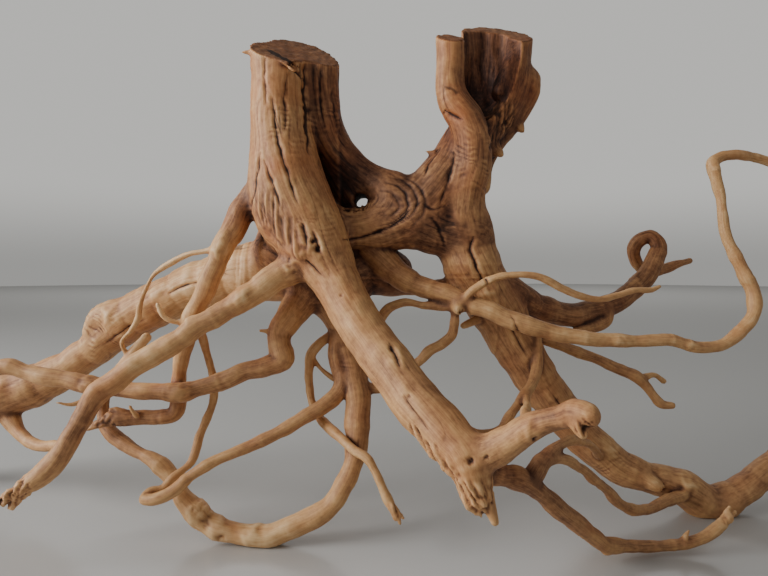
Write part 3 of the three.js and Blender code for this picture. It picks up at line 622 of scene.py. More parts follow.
# Soft lamps: the place, the point it looks at and the two sides, in metres.
WINDOW = {"at": (-2.2, -0.55, 1.15), "to": (0.0, 0.0, 0.25), "size": (1.5, 1.5)}
FILL = {"at": (2.2, -1.8, 1.2), "to": (0.0, 0.0, 0.2), "size": (2.0, 1.6)}
FAR_LAMP = {"at": (0.0, 5.0, 3.0), "to": (0.0, 5.6, 0.0), "size": (8.0, 3.0)}
CAMERA_AT = (0.0465, -0.5479, 0.25)
CAMERA_SHIFT_DOWN = 0.026
SENSOR_WIDTH = 36.0  # mm
NEAREST_SEEN = 0.01  # distance from which the camera sees things, m


# ---- noise -----------------------------------------------------------------------------


class Noise:
    """Smooth noise over points in space, about -1 to 1, the same for the same seed."""

    CELLS = 64
    SPREAD = 1.6  # brings the sum to about -1 to 1

    def __init__(self, seed):
        random = np.random.default_rng(seed)
        steps = random.normal(size=(self.CELLS, 3))
        self.steps = steps / np.linalg.norm(steps, axis=1)[:, None]
        self.order = random.permutation(self.CELLS)

    def at(self, points):
        low = np.floor(points).astype(int)
        part = points - low
        fade = part * part * part * (part * (part * 6 - 15) + 10)
        total = np.zeros(len(points))
        for corner in np.ndindex(2, 2, 2):
            cell = (low + corner) % self.CELLS
            pick = self.order[cell[:, 0]]
            pick = self.order[(pick + cell[:, 1]) % self.CELLS]
            pick = self.order[(pick + cell[:, 2]) % self.CELLS]
            rise = ((part - corner) * self.steps[pick]).sum(1)
            weight = np.where(np.array(corner, bool), fade, 1 - fade).prod(1)
            total += rise * weight
        return total * self.SPREAD


def ridged(height):
    """Noise folded into sharp valleys: 0 in the valleys, near 1 between them."""
    return np.minimum(np.abs(height) * 2.2, 1)


# The irregularities of the whole surface. Each has a seed of its own: SEED and its number.
PATTERNS = (
    "limb", "swell", "small swell", "crack waver", "shreds", "hollow lumps", "fine hollow lumps",
    "torn streaks", "saw streaks", "wrinkle bend", "fine wrinkle bend", "hollow streaks",
    "torn edge", "fine shreds", "fine crack waver", "crack width", "wrinkle patches",
    "spot outline", "saw marks", "fine saw marks",
)
# The irregularities that follow each limb, in the same way from the limb's seed.
LIMB_PATTERNS = (
    "flutes", "ribs", "fibres", "folds", "fold patches", "sway", "splits", "streaks", "patches",
)


def pattern(name, places):
    """A named irregularity of the surface at places that are divided by its size."""
    return Noise(SEED + PATTERNS.index(name)).at(places)


def ease(low, high, value):
    """0 up to low, 1 from high, smooth between."""
    share = np.clip((value - low) / (high - low), 0, 1)
    return share * share * (3 - 2 * share)


# ---- limbs as runs of close stations ---------------------------------------------------


def length_along(run):
    """How far along the run each of its points lies, mm."""
    gaps = np.linalg.norm(np.diff(run[:, :3], axis=0), axis=1)
    return np.concatenate([[0], np.cumsum(gaps)])


def smooth_run(stations, step):
    """The stations joined by a smooth line, as close as step."""
    points = np.array(stations, float)
    place = length_along(points)
    slope = np.gradient(points, place, axis=0)
    count = max(3, int(place[-1] / step) + 1)
    along = np.linspace(0, place[-1], count)
    here = np.clip(np.searchsorted(place, along, side="right") - 1, 0, len(points) - 2)
    gap = np.diff(place)[here][:, None]
    u = (along[:, None] - place[here][:, None]) / gap
    return (
        points[here] * (2 * u**3 - 3 * u**2 + 1)
        + points[here + 1] * (3 * u**2 - 2 * u**3)
        + slope[here] * gap * (u**3 - 2 * u**2 + u)
        + slope[here + 1] * gap * (u**3 - u**2)
    )


def roughened(run, seed, wander, knobs):
    """A run whose line wanders and whose girth swells and shrinks a little, as a root's does."""
    along = length_along(run)
    radius = run[:, 3]
    stout = np.minimum(radius, 9)
    rough = run.copy()

    def noise_along(number, length, start):
        return Noise(seed + number).at(np.stack([along / length, along * 0 + start, along * 0], 1))

    for axis in range(3):
        rough[:, axis] += noise_along(0, WANDER_LENGTH, axis * 7.3) * stout * wander
    swell = noise_along(1, SWELL_LENGTH, 3.1)
    burl = np.maximum(noise_along(2, BURL_LENGTH, 5.7), 0)
    rough[:, 3] = radius * (1 + knobs * swell) + knobs * 2.2 * burl**2 * np.minimum(radius, 8)
    return rough


def frames_along(run):
    """Two directions across the run at each of its points, turning as little as they can."""
    along = np.gradient(run[:, :3], axis=0)
    along /= np.linalg.norm(along, axis=1)[:, None]
    start = Vector(along[0]).orthogonal().normalized()
    across = [np.array(start)]
    for direction in along[1:]:
        turned = across[-1] - direction * across[-1].dot(direction)
        across.append(turned / np.linalg.norm(turned))
    across = np.array(across)
    return along, across, np.cross(along, across)


# ---- the distance field ----------------------------------------------------------------


class DistanceField:
    """Distances to the wood's surface on a regular grid, mm, never more than FAR."""

    FAR = 9.0

    def __init__(self, low, high, pitch):
        self.low = np.array(low, float)
        self.pitch = pitch
        self.shape = tuple(np.ceil((np.array(high) - low) / pitch).astype(int) + 1)
        self.values = np.full(self.shape, self.FAR, np.float32)

    def window(self, low, high):
        """The part of the grid between two corners, and its coordinates along each axis."""
        first = np.clip(np.floor((low - self.low) / self.pitch).astype(int), 0, self.shape)
        last = np.clip(np.ceil((high - self.low) / self.pitch).astype(int) + 1, 0, self.shape)
        part = tuple(slice(a, b) for a, b in zip(first, last))
        x, y, z = (
            (self.low[axis] + self.pitch * np.arange(first[axis], last[axis])).astype(np.float32)
            for axis in range(3)
        )
        return part, (x[:, None, None], y[None, :, None], z[None, None, :])

    def limb(self, run):
        """The part of the grid round a run, and the distances to the run there."""
        reach = run[:, 3].max() + self.FAR
        part, _ = self.window(run[:, :3].min(0) - reach, run[:, :3].max(0) + reach)
        first = np.array([piece.start for piece in part])
        near = np.full([piece.stop - piece.start for piece in part], self.FAR, np.float32)
        for a, b in zip(run[:-1], run[1:]):
            room = max(a[3], b[3]) + self.FAR
            small, (x, y, z) = self.window(
                np.minimum(a, b)[:3] - room, np.maximum(a, b)[:3] + room
            )
            inner = tuple(slice(s.start - f, s.stop - f) for s, f in zip(small, first))
            step = b - a
            long = max(float(step[:3] @ step[:3]), 1e-6)
            x, y, z = x - a[0], y - a[1], z - a[2]
            share = np.clip((x * step[0] + y * step[1] + z * step[2]) / long, 0, 1)
            apart = np.sqrt(
                (x - share * step[0]) ** 2 + (y - share * step[1]) ** 2 + (z - share * step[2]) ** 2
            )
            near[inner] = np.minimum(near[inner], apart - (a[3] + share * step[3]))
        return part, near

    def add(self, run, melt):
        """Joins a limb on, with a fillet about melt wide."""
        part, near = self.limb(run)
        whole = self.values[part]
        overlap = np.maximum(melt - np.abs(whole - near), 0) / melt
        self.values[part] = np.minimum(whole, near) - overlap**2 * melt / 4

    def carve(self, run, melt):
        """Hollows a limb out, with an edge rounded about melt wide."""
        part, near = self.limb(run)
        whole = self.values[part]
        overlap = np.maximum(melt - np.abs(whole + near), 0) / melt
        self.values[part] = np.maximum(whole, -near) + overlap**2 * melt / 4

    def saw(self, at, height, slopes, between):
        """Takes away what stands above a plane."""
        low = np.array([between[0], self.low[1], SAWN_ABOVE])
        high = self.low + self.pitch * np.array(self.shape)
        high[0] = between[1]
        part, (x, y, z) = self.window(low, high)
        plane = height + slopes[0] * (x - at[0]) + slopes[1] * (y - at[1])
        above = (z - plane) / math.sqrt(1 + slopes[0] ** 2 + slopes[1] ** 2)
        self.values[part] = np.maximum(self.values[part], above)

    def stand(self):
        """Takes away what would lie below the floor."""
        z = self.low[2] + self.pitch * np.arange(self.shape[2], dtype=np.float32)
        self.values = np.maximum(self.values, -z[None, None, :])

    def skin(self):
        """The surface, as points in mm and faces of four corners."""
        grid = openvdb.FloatGrid(self.FAR)
        grid.copyFromArray(self.values)
        points, quads = grid.convertToQuads(0.0)
        points = points * self.pitch + self.low
        quads = quads.astype(np.int64)
        a, b, c = (points[quads[:, k]] for k in range(3))
        if np.einsum("ij,ij->i", a, np.cross(b, c)).sum() < 0:
            quads = quads[:, ::-1]
        return points, quads


# ---- what is carved into the skin ------------------------------------------------------


def normals_of(points, quads):
    """The direction that the surface faces at each vertex."""
    across = points[quads[:, 2]] - points[quads[:, 0]]
    other = points[quads[:, 3]] - points[quads[:, 1]]
    face = np.cross(across, other)
    total = np.zeros_like(points)
    for corner in range(4):
        for axis in range(3):
            total[:, axis] += np.bincount(quads[:, corner], face[:, axis], len(points))
    return total / np.maximum(np.linalg.norm(total, axis=1), 1e-9)[:, None]


def evened(values, quads, rounds):
    """Values at the vertices, each averaged with its neighbours a number of times."""
    count = len(values)
    neighbours = sum(np.bincount(quads[:, k], np.full(len(quads), 2.0), count) for k in range(4))
    for _ in range(rounds):
        total = np.zeros(count)
        for k in range(4):
            here, beside = quads[:, k], quads[:, (k + 1) % 4]
            total += np.bincount(here, values[beside], count)
            total += np.bincount(beside, values[here], count)
        values = 0.5 * values + 0.5 * total / np.maximum(neighbours, 1)
    return values


def evened_points(points, quads, rounds):
    """The vertices themselves, evened in the same way."""
    return np.stack([evened(points[:, axis], quads, rounds) for axis in range(3)], axis=1)


def nearest_on(run, points, reach):
    """Which points lie within reach of a run's surface, and where on it.

    Gives their numbers, their places as two distances across the run and one along it, and the
    distances to its surface."""
    room = run[:, 3].max() + reach
    inside = (points > run[:, :3].min(0) - room) & (points < run[:, :3].max(0) + room)
    chosen = np.flatnonzero(inside.all(1))
    station = np.zeros(len(chosen), int)
    clear = np.zeros(len(chosen))
    centres = run[:, :3].astype(np.float32)
    for first in range(0, len(chosen), NEAREST_BATCH):
        some = chosen[first : first + NEAREST_BATCH]
        gap = points[some].astype(np.float32)[:, None] - centres[None]
        surface = np.sqrt((gap * gap).sum(2)) - run[None, :, 3]
        best = surface.argmin(1)
        station[first : first + NEAREST_BATCH] = best
        clear[first : first + NEAREST_BATCH] = surface[np.arange(len(some)), best]
    keep = clear < reach
    chosen, station, clear = chosen[keep], station[keep], clear[keep]
    along, across, up = frames_along(run)
    offset = points[chosen] - run[station, :3]
    local = np.stack(
        [
            (offset * across[station]).sum(1),
            (offset * up[station]).sum(1),
            (offset * along[station]).sum(1) + length_along(run)[station],
        ],
        axis=1,
    )
    return chosen, local, clear


def wood_relief(local, girth, seed):
    """What bare root wood is like at places (across, across, along) a limb.

    Gives its height, its tone, the distance from the nearest open furrow and the furrow's half
    width, which is below 0 where the furrow is closed."""

    def noise(name, places):
        return Noise(seed + LIMB_PATTERNS.index(name)).at(places)

    wide = min(max(0.5 * girth, 2.4), 9.0)  # from one furrow to the next, mm
    sway = noise("sway", local / (30, 30, 60))
    bent = local + np.stack([sway * wide, -sway * wide, sway * 0], axis=1)
    beside = noise("flutes", bent / (wide, wide, wide * 11))
    flutes = np.sqrt(ridged(beside)) - 0.65
    ribs = np.sqrt(ridged(noise("ribs", bent / (wide * 0.45, wide * 0.45, wide * 5)))) - 0.65
    fibres = noise("fibres", bent / (1.5, 1.5, 22))
    folds = noise("folds", bent / (wide * 2.2, wide * 2.2, 3.4))
    folds *= ease(0.1, 0.6, noise("fold patches", local / (28, 28, 34)))
    split = ease(0.1, 0.6, noise("splits", local / (22, 22, 48))) * ease(6.0, 16.0, girth)
    streaks = noise("streaks", bent / (3.2, 3.2, 60))
    patches = noise("patches", local / (20, 20, 44))
    height = 0.05 * wide * flutes + 0.015 * wide * ribs + 0.08 * fibres + 0.05 * folds
    tone = 0.07 * streaks + 0.085 * patches + 0.03 * fibres + 0.05 * flutes + 0.02 * ribs
    return height, tone + 0.01 * folds, beside * wide / 1.6, 0.75 * split - 0.25


def blended_relief(points, runs):
    """The relief of every limb near each point, mixed by how near it is."""
    count = len(points)
    weight = np.full(count, 1e-9)
    best = np.zeros(count)
    height, tone, furrow = (np.zeros(count) for _ in range(3))
    furrow_half = np.full(count, -1.0)
    grain = np.zeros((count, 3))
    for number, (name, run) in enumerate(runs.items()):
        chosen, local, clear = nearest_on(run, points, BLEND_REACH)
        if not len(chosen):
            continue
        girth = float(np.median(run[:, 3]))
        share = np.exp(-clear / BLEND_FADE)
        own_height, own_tone, *own_furrow = wood_relief(local, girth, SEED + LIMB_SEEDS * number)
        height[chosen] += share * own_height
        tone[chosen] += share * (own_tone + LIMB_TONE_AND_SHADE.get(name, 0.0))
        weight[chosen] += share
        closer = share > best[chosen]
        here = chosen[closer]
        best[here] = share[closer]
        grain[here] = local[closer]
        furrow[here], furrow_half[here] = (values[closer] for values in own_furrow)
    sure = ease(0.6, 0.95, best / weight)
    furrow_half = (furrow_half + 1) * sure - 1
    return height / weight, tone / weight, furrow, furrow_half, grain, sure


def spotted(points, spots):
    """What a list of round spots (x, y, z, reach, height) adds at each point."""
    total = np.zeros(len(points))
    for x, y, z, reach, height in spots:
        gap = points - (x, y, z)
        gap[:, 1] = np.maximum(np.abs(gap[:, 1]) - reach, 0)
        near = np.flatnonzero(np.abs(gap).max(1) < 3 * reach)
        gap = gap[near] + 0.5 * reach * pattern("spot outline", points[near] / reach)[:, None]
        away = np.linalg.norm(gap, axis=1) / reach
        total[near] += height * np.exp(-(away**2) * 1.6)
    return total


def crack_run(number, line, half):
    """A drawn crack as close points (x, 0, z, half width), wavering and tapered to both ends."""
    run = smooth_run([(x, 0.0, z, half) for x, z in line], 1.5)
    along = length_along(run)
    share = along / along[-1]
    place = np.stack([along / 11, along * 0 + 0.37, along * 0 + number * 1.7], axis=1)
    waver = pattern("crack waver", place) * 1.6 + pattern("fine crack waver", place * 3.1) * 0.5
    run[:, 0] += waver * np.minimum(along, 6) / 6
    run[:, 3] *= 1.1 * np.sqrt(np.maximum(4 * share * (1 - share), 0)) * (
        0.8 + 0.5 * pattern("crack width", place * 1.6)
    )
    return run


def beside_line(places, run):
    """For places (x, z), the distance to a crack's line, the side of it and its half width."""
    start, step = run[:-1][:, (0, 2)], np.diff(run[:, (0, 2)], axis=0)
    gap = places[:, None] - start[None]
    share = np.clip((gap * step).sum(2) / (step * step).sum(1), 0, 1)
    away = np.linalg.norm(gap - share[:, :, None] * step, axis=2)
    pick = away.argmin(1)
    row = np.arange(len(places))
    turn = step[pick, 0] * gap[row, pick, 1] - step[pick, 1] * gap[row, pick, 0]
    return away[row, pick], np.where(turn < 0, -1, 1), run[pick, 3]


def front_cracks(points, normals):
    """The drawn cracks at each point of the front.

    Gives how deep they cut, mm, the distance to the nearest one, which changes sign across it,
    and that one's half width, which is below 0 away from every crack."""
    depth = np.zeros(len(points))
    beside = np.full(len(points), 9.0)
    width = np.full(len(points), -1.0)
    places = points[:, (0, 2)]
    drawn = [(points[:, 1] < FRONT_LIMIT, crack) for crack in CRACKS.values()]
    drawn += [(points[:, 1] > FAR_LIMIT, crack) for crack in FAR_CRACKS.values()]
    for number, (seen, (line, half, deep)) in enumerate(drawn):
        run = crack_run(number, line, half)
        low = run[:, (0, 2)].min(0) - CRACK_ROOM
        high = run[:, (0, 2)].max(0) + CRACK_ROOM
        inside = (places > low).all(1) & (places < high).all(1)
        near = np.flatnonzero(seen & (normals[:, 1] < 0) & inside)
        away, side, local_half = beside_line(places[near], run)
        cut = deep * local_half / half * np.exp(-((away / (local_half + CRACK_FLANK)) ** 2))
        depth[near] = np.maximum(depth[near], cut)
        closer = (away < np.abs(beside[near])) & (away < CRACK_REACH)
        beside[near[closer]] = (side * away)[closer]
        width[near[closer]] = (local_half * 1.25 - 0.25)[closer]
    return depth, beside, width


def front_wrinkles(points):
    """Low waves across the grain in the stretches listed, mm."""
    bend = pattern("wrinkle bend", points / 24) * 9 + pattern("fine wrinkle bend", points / 9) * 2
    total = np.zeros(len(points))
    for x, y, z, reach, height, lean in WRINKLES:
        away = np.linalg.norm(points - (x, y, z), axis=1) / reach
        climb = points[:, 2] + bend + lean * points[:, 0]
        wave = np.sin(climb * 2 * np.pi / WRINKLE_WIDTH)
        total += height * (1 - ease(0.4, 1.0, away)) * wave
    return total * ease(-0.15, 0.4, pattern("wrinkle patches", points / 11))


def torn_share(points):
    """1 where the wood is torn, 0 where it is sound."""
    total = np.zeros(len(points))
    ragged = pattern("torn edge", points / 7) * 0.25
    for x, y, z, reach, share in TORN:
        away = np.linalg.norm(points - (x, y, z), axis=1) / reach
        total = np.maximum(total, share * (1 - ease(0.55, 1.0, away + ragged)))
    return total


def sawn_share(points):
    """1 on the two saw cuts, 0 elsewhere."""
    total = np.zeros(len(points))
    for cut in SAW_CUTS.values():
        (at_x, at_y), (slope_x, slope_y) = cut["at"], cut["slopes"]
        plane = cut["height"] + slope_x * (points[:, 0] - at_x) + slope_y * (points[:, 1] - at_y)
        low, high = cut["between"]
        between = (points[:, 0] > low) & (points[:, 0] < high) & (points[:, 2] > SAWN_ABOVE)
        total = np.maximum(total, between * (1 - ease(0.6, 1.6, np.abs(points[:, 2] - plane))))
    return total


def in_hollow(points):
    """1 inside the right stump's hollow, 0 outside it."""
    share = np.zeros(len(points))
    for stations in (STUMP_HOLLOW, HOLLOW_MOUTH):
        chosen, _, clear = nearest_on(smooth_run(stations, WALL_STEP), points, WALL_REACH)
        share[chosen] = np.maximum(share[chosen], 1 - ease(0.5, 3.0, clear))
    return share


def along_torn_fibres(points):
    """The points turned so that their last coordinate runs as torn fibres do, down and outward."""
    x, y, z = points.T
    outward = np.where(x < -150, -0.55, 0.42) * (z < 220)
    return np.stack([x + outward * z, y - 0.7 * outward * z, z], axis=1)


def torn_shreds(along_fibres):
    """How far torn fibres stand out of or lie below the sound surface, mm."""
    shreds = np.abs(pattern("shreds", along_fibres / (6, 6, 50))) * 6.0
    shreds += np.abs(pattern("fine shreds", along_fibres / (2.6, 2.6, 30))) * 2.0
    return shreds - 2.4


def hollow_lumps(points):
    """The lumps that rot has left on the walls of the hollow, mm."""
    lumps = 2.8 * pattern("hollow lumps", points / (11, 11, 50))
    return lumps + 0.5 * pattern("fine hollow lumps", points / (3, 3, 14))


def saw_marks(points):
    """The low waves that the saw has left on a cut, mm."""
    return 0.9 * pattern("saw marks", points / 10) + 0.3 * pattern("fine saw marks", points / 4)


def sunk_share(points, quads, normals):
    """How far each point lies below its neighbours, near and wide: below 0 on the ridges."""
    near, wide = (
        np.einsum("ij,ij->i", evened_points(points, quads, rounds) - points, normals)
        for rounds in (6, 30)
    )
    return np.clip(near * 0.55, -0.25, 0.55) + np.clip(wide * 0.16, -0.15, 0.4)


def carved(points, quads, runs, settings):
    """The skin with its relief, and what the material reads at each of its points."""
    normals = normals_of(points, quads)
    height, tone, furrow, furrow_half, grain, sure = blended_relief(points, runs)
    swell = pattern("swell", points / 32) * 1.3 + pattern("small swell", points / 13) * 0.6
    knots = spotted(points, SPOTS["knots"])
    pits = spotted(points, SPOTS["pits"])
    wrinkles = front_wrinkles(points)
    depth, crack, crack_half = front_cracks(points, normals)
    torn, sawn, hollow = torn_share(points), sawn_share(points), in_hollow(points)
    along_fibres = along_torn_fibres(points)
    shreds = torn_shreds(along_fibres)
    old = ease(190, 300, points[:, 2])  # the stumps are more weathered than the roots

    height *= (1 - 0.7 * torn) * (0.5 + 0.5 * old)
    relief = settings.relief * height + swell + knots + pits - depth
    relief += wrinkles + torn * shreds + hollow * hollow_lumps(points)
    relief = relief * (1 - sawn) + sawn * saw_marks(points)
    over_floor = ease(0.0, 3.0, points[:, 2])
    moved = points + normals * (relief * over_floor)[:, None]
    moved[:, 2] = np.maximum(moved[:, 2], 0)

    # Painted shade and light: sunk places are darkened and ridges lightened, less so inside the
    # hollow.
    shade = sunk_share(moved, quads, normals) * (0.75 - 0.5 * hollow)
    # Painted light and shade follow the wrinkles too, lighter on their crests and darker in their
    # troughs; raised knots are a little lighter.
    level = SOUND_TONE + tone - shade + 0.02 * knots + spotted(points, STAINS_AND_SHADE) + 0.12 * wrinkles
    # Painted light and shade on torn fibres: lighter where they stand out, darker where they sink,
    # with pale streaks.
    level += torn * (0.06 * shreds + 0.1 * pattern("torn streaks", along_fibres / (2.4, 2.4, 24)))
    # Painted shade: the inside of the hollow is darker, with streaks.
    level -= hollow * (0.17 - 0.09 * pattern("hollow streaks", points / (9, 9, 44)))
    sawn_level = 0.4 + 0.12 * pattern("saw streaks", points / (5, 22, 22))
    level = level * (1 - sawn) + sawn * sawn_level
    return moved, {
        "tone": np.clip(level, 0, 1),
        # painted shade in the pits, by their depth
        "painted_shade": np.clip(-pits / 6, 0, 0.7),
        "crack": crack,
        "crack_half": crack_half,
        "furrow": furrow,
        "furrow_half": furrow_half - 1.5 * sawn - torn - 0.5 * (1 - old),
        "torn": np.clip(np.maximum(torn, 0.5 * sawn), 0, 1),
        "sure": sure,
        "grain": grain * MM,
    }


# ---- materials -------------------------------------------------------------------------


def linear(code):
    """A colour written as sRGB hex, as the linear red, green and blue that Blender takes."""
    parts = [int(code[i : i + 2], 16) / 255 for i in (1, 3, 5)]
    return [p / 12.92 if p <= 0.04045 else ((p + 0.055) / 1.055) ** 2.4 for p in parts]


def add_node(tree, kind, inputs=None, **settings):
    """A node with its settings. An input is a value, an output, or a node whose output feeds it."""
    node = tree.nodes.new(kind)
    for name, value in settings.items():
        setattr(node, name, value)
    for name, value in (inputs or {}).items():
        if isinstance(value, bpy.types.Node):
            value = next(output for output in value.outputs if output.enabled)
        if isinstance(value, bpy.types.NodeSocket):
            tree.links.new(value, node.inputs[name])
        else:
            node.inputs[name].default_value = value
    return node


def empty_material(name):
    """A material without any node yet."""
    material = bpy.data.materials.new(name)
    material.use_nodes = True
    material.node_tree.nodes.clear()
    return material


def swing(tree, vector, scale, detail, reach):
    """Noise from -reach to reach."""
    noise = add_node(
        tree, "ShaderNodeTexNoise", {"Vector": vector, "Scale": scale, "Detail": detail}
    )
    limits = {"From Min": 0.25, "From Max": 0.75, "To Min": -reach, "To Max": reach}
    return add_node(tree, "ShaderNodeMapRange", {"Value": noise.outputs["Fac"], **limits})


def thin_line(tree, beside, half, darkness):
    """Darkness on a line, 0 off it, from the distance to the line and its half width, in mm."""
    away = add_node(tree, "ShaderNodeMath", {0: beside}, operation="ABSOLUTE")
    inside = add_node(tree, "ShaderNodeMath", {0: half, 1: away}, operation="SUBTRACT")
    limits = {"From Min": -LINE_BLUR, "From Max": LINE_BLUR}
    line = add_node(tree, "ShaderNodeMapRange", {"Value": inside, **limits})
    return add_node(tree, "ShaderNodeMath", {0: line, 1: darkness}, operation="MULTIPLY")


def wood_level(tree, values, place):
    """How light the wood is, 0 to 1: the carved tone with fibres and dust over it."""
    grain = add_node(tree, "ShaderNodeAttribute", attribute_name="grain").outputs["Vector"]
    streaks = []
    for fibre in FIBRES:
        across, along = (1 / (fibre[way] * MM) for way in ("across", "along"))
        scale = (across, across, along)
        laid = add_node(tree, "ShaderNodeMapping", {"Vector": grain, "Scale": scale})
        streaks.append(swing(tree, laid, 1.0, fibre["detail"], fibre["reach"]))
    fine, broad = streaks
    fibres = add_node(tree, "ShaderNodeMath", {0: fine, 1: broad}, operation="ADD")
    # Where limbs grow into each other the fibres have no one direction, so they fade out.
    sure = add_node(tree, "ShaderNodeMath", {0: fibres, 1: values["sure"]}, operation="MULTIPLY")
    streaked = add_node(tree, "ShaderNodeMath", {0: values["tone"], 1: sure}, operation="ADD")
    # Dust and wear a few millimetres across keep the colour from looking painted on.
    dust = swing(tree, place, 1 / (DUST_GRAIN * MM), 4.0, 0.07)
    return add_node(tree, "ShaderNodeMath", {0: streaked, 1: dust}, operation="ADD")


def reddened(tree, colour, place, settings):
    """The colour with the red of the inner bark in patches and all over the stumps."""
    redness = swing(tree, place, 1 / (RED_PATCH * MM), 2.0, 0.5)
    height = add_node(tree, "ShaderNodeSeparateXYZ", {"Vector": place}).outputs["Z"]
    stump_red = add_node(tree, "ShaderNodeMapRange", {"Value": height, **STUMP_RED})
    share = add_node(
        tree, "ShaderNodeMath", {0: redness, 1: stump_red}, operation="ADD", use_clamp=True
    )
    return add_node(
        tree,
        "ShaderNodeMix",
        {"Factor": share, MIX_COLOURS[0]: colour, MIX_COLOURS[1]: (*settings.red_tint, 1)},
        data_type="RGBA",
        blend_type="MULTIPLY",
    )


def washed_root_wood(settings):
    """Bare root wood, washed and dried: tan on the ridges, brown in the furrows, painted shade in
    cracks, furrows and pits, dull sheen.
    """
    material = empty_material("bare root wood, washed and dried")
    tree = material.node_tree
    place = add_node(tree, "ShaderNodeTexCoord").outputs["Object"]
    values = {
        name: add_node(tree, "ShaderNodeAttribute", attribute_name=name).outputs["Fac"]
        for name in ("tone", "sure", "torn", "painted_shade", "crack", "crack_half", "furrow", "furrow_half")
    }
    level = wood_level(tree, values, place)
    ramp = add_node(tree, "ShaderNodeValToRGB", {"Fac": level})
    stops = ramp.color_ramp.elements
    stops.remove(stops[1])
    stops[0].position = WOOD_TONES[0][0]
    stops[0].color = (*getattr(settings, WOOD_TONES[0][1]), 1)
    for position, name in WOOD_TONES[1:]:
        stops.new(position).color = (*getattr(settings, name), 1)
    wood = reddened(tree, ramp.outputs["Color"], place, settings)
    # Torn fibres are fresher and more orange than the washed surface.
    torn_share = add_node(
        tree, "ShaderNodeMath", {0: values["torn"], 1: TORN_STRENGTH}, operation="MULTIPLY"
    )
    torn_level = add_node(
        tree, "ShaderNodeMapRange", {"Value": level, "To Min": 0.25, "To Max": 1.25}
    )
    torn_wood = add_node(
        tree,
        "ShaderNodeMix",
        {"Factor": 1.0, MIX_COLOURS[0]: (*settings.torn_wood, 1), MIX_COLOURS[1]: torn_level},
        data_type="RGBA",
        blend_type="MULTIPLY",
    )
    wood = add_node(
        tree,
        "ShaderNodeMix",
        {"Factor": torn_share, MIX_COLOURS[0]: wood, MIX_COLOURS[1]: torn_wood},
        data_type="RGBA",
    )
    # Painted shade: cracks, furrows and pits are darkened toward a near-black colour, as deep
    # places hold hardly any light.
    crack = thin_line(tree, values["crack"], values["crack_half"], 0.92)
    furrow = thin_line(tree, values["furrow"], values["furrow_half"], 0.6)
    black = add_node(tree, "ShaderNodeMath", {0: crack, 1: furrow}, operation="MAXIMUM")
    black = add_node(tree, "ShaderNodeMath", {0: black, 1: values["painted_shade"]}, operation="MAXIMUM")
    colour = add_node(
        tree,
        "ShaderNodeMix",
        {"Factor": black, MIX_COLOURS[0]: wood, MIX_COLOURS[1]: (*settings.painted_shade, 1)},
        data_type="RGBA",
    )
    # Worn ridges shine a little and the darker hollows between them hardly at all.
    rough = add_node(tree, "ShaderNodeMapRange", {"Value": level, "To Min": 0.74, "To Max": 0.5})
    grooves = add_node(tree, "ShaderNodeMath", {0: level, 1: black}, operation="SUBTRACT")
    bump = add_node(
        tree, "ShaderNodeBump", {"Height": grooves, "Strength": 0.5, "Distance": GROOVE_DEPTH * MM}
    )
    shader = add_node(
        tree,
        "ShaderNodeBsdfPrincipled",
        {"Base Color": colour, "Roughness": rough, "Normal": bump, "Specular IOR Level": 0.4},
    )
    add_node(tree, "ShaderNodeOutputMaterial", {"Surface": shader})
    return material


def glazed_floor(settings):
    """Pale glazed floor tile without its joints: it shows the feet as a blurred reflection."""
    material = empty_material("pale floor tile, satin glaze")
    tree = material.node_tree
    shader = add_node(
        tree,
        "ShaderNodeBsdfPrincipled",
        {"Base Color": (*settings.floor_colour, 1), "Roughness": settings.floor_roughness},
    )
    add_node(tree, "ShaderNodeOutputMaterial", {"Surface": shader})
    return material


def studio_world(settings):
    """Pale light from all round. The camera sees it as a backdrop, paler higher up."""
    world = bpy.data.worlds.new("studio")
    world.use_nodes = True
    tree = world.node_tree
    seen = add_node(tree, "ShaderNodeLightPath").outputs["Is Camera Ray"]
    direction = add_node(tree, "ShaderNodeTexCoord").outputs["Generated"]
    upward = add_node(tree, "ShaderNodeSeparateXYZ", {"Vector": direction}).outputs["Z"]
    limits = {"From Max": HORIZON_FADE, "To Min": settings.horizon, "To Max": settings.backdrop}
    shown = add_node(
        tree,
        "ShaderNodeMapRange",
        {"Value": upward, **limits},
        interpolation_type="SMOOTHSTEP",
    )
    strength = add_node(
        tree, "ShaderNodeMapRange", {"Value": seen, "To Min": settings.sky, "To Max": shown}
    )
    background = tree.nodes["Background"]
    background.inputs["Color"].default_value = (*settings.backdrop_colour, 1)
    tree.links.new(strength.outputs["Result"], background.inputs["Strength"])
    return world


# ---- settings --------------------------------------------------------------------------


def colour_setting(name, description, code):
    """A colour that a user can change, whose default is written as sRGB hex."""
    return bpy.props.FloatVectorProperty(
        name=name, description=description, default=linear(code), subtype="COLOR", min=0, max=1
    )


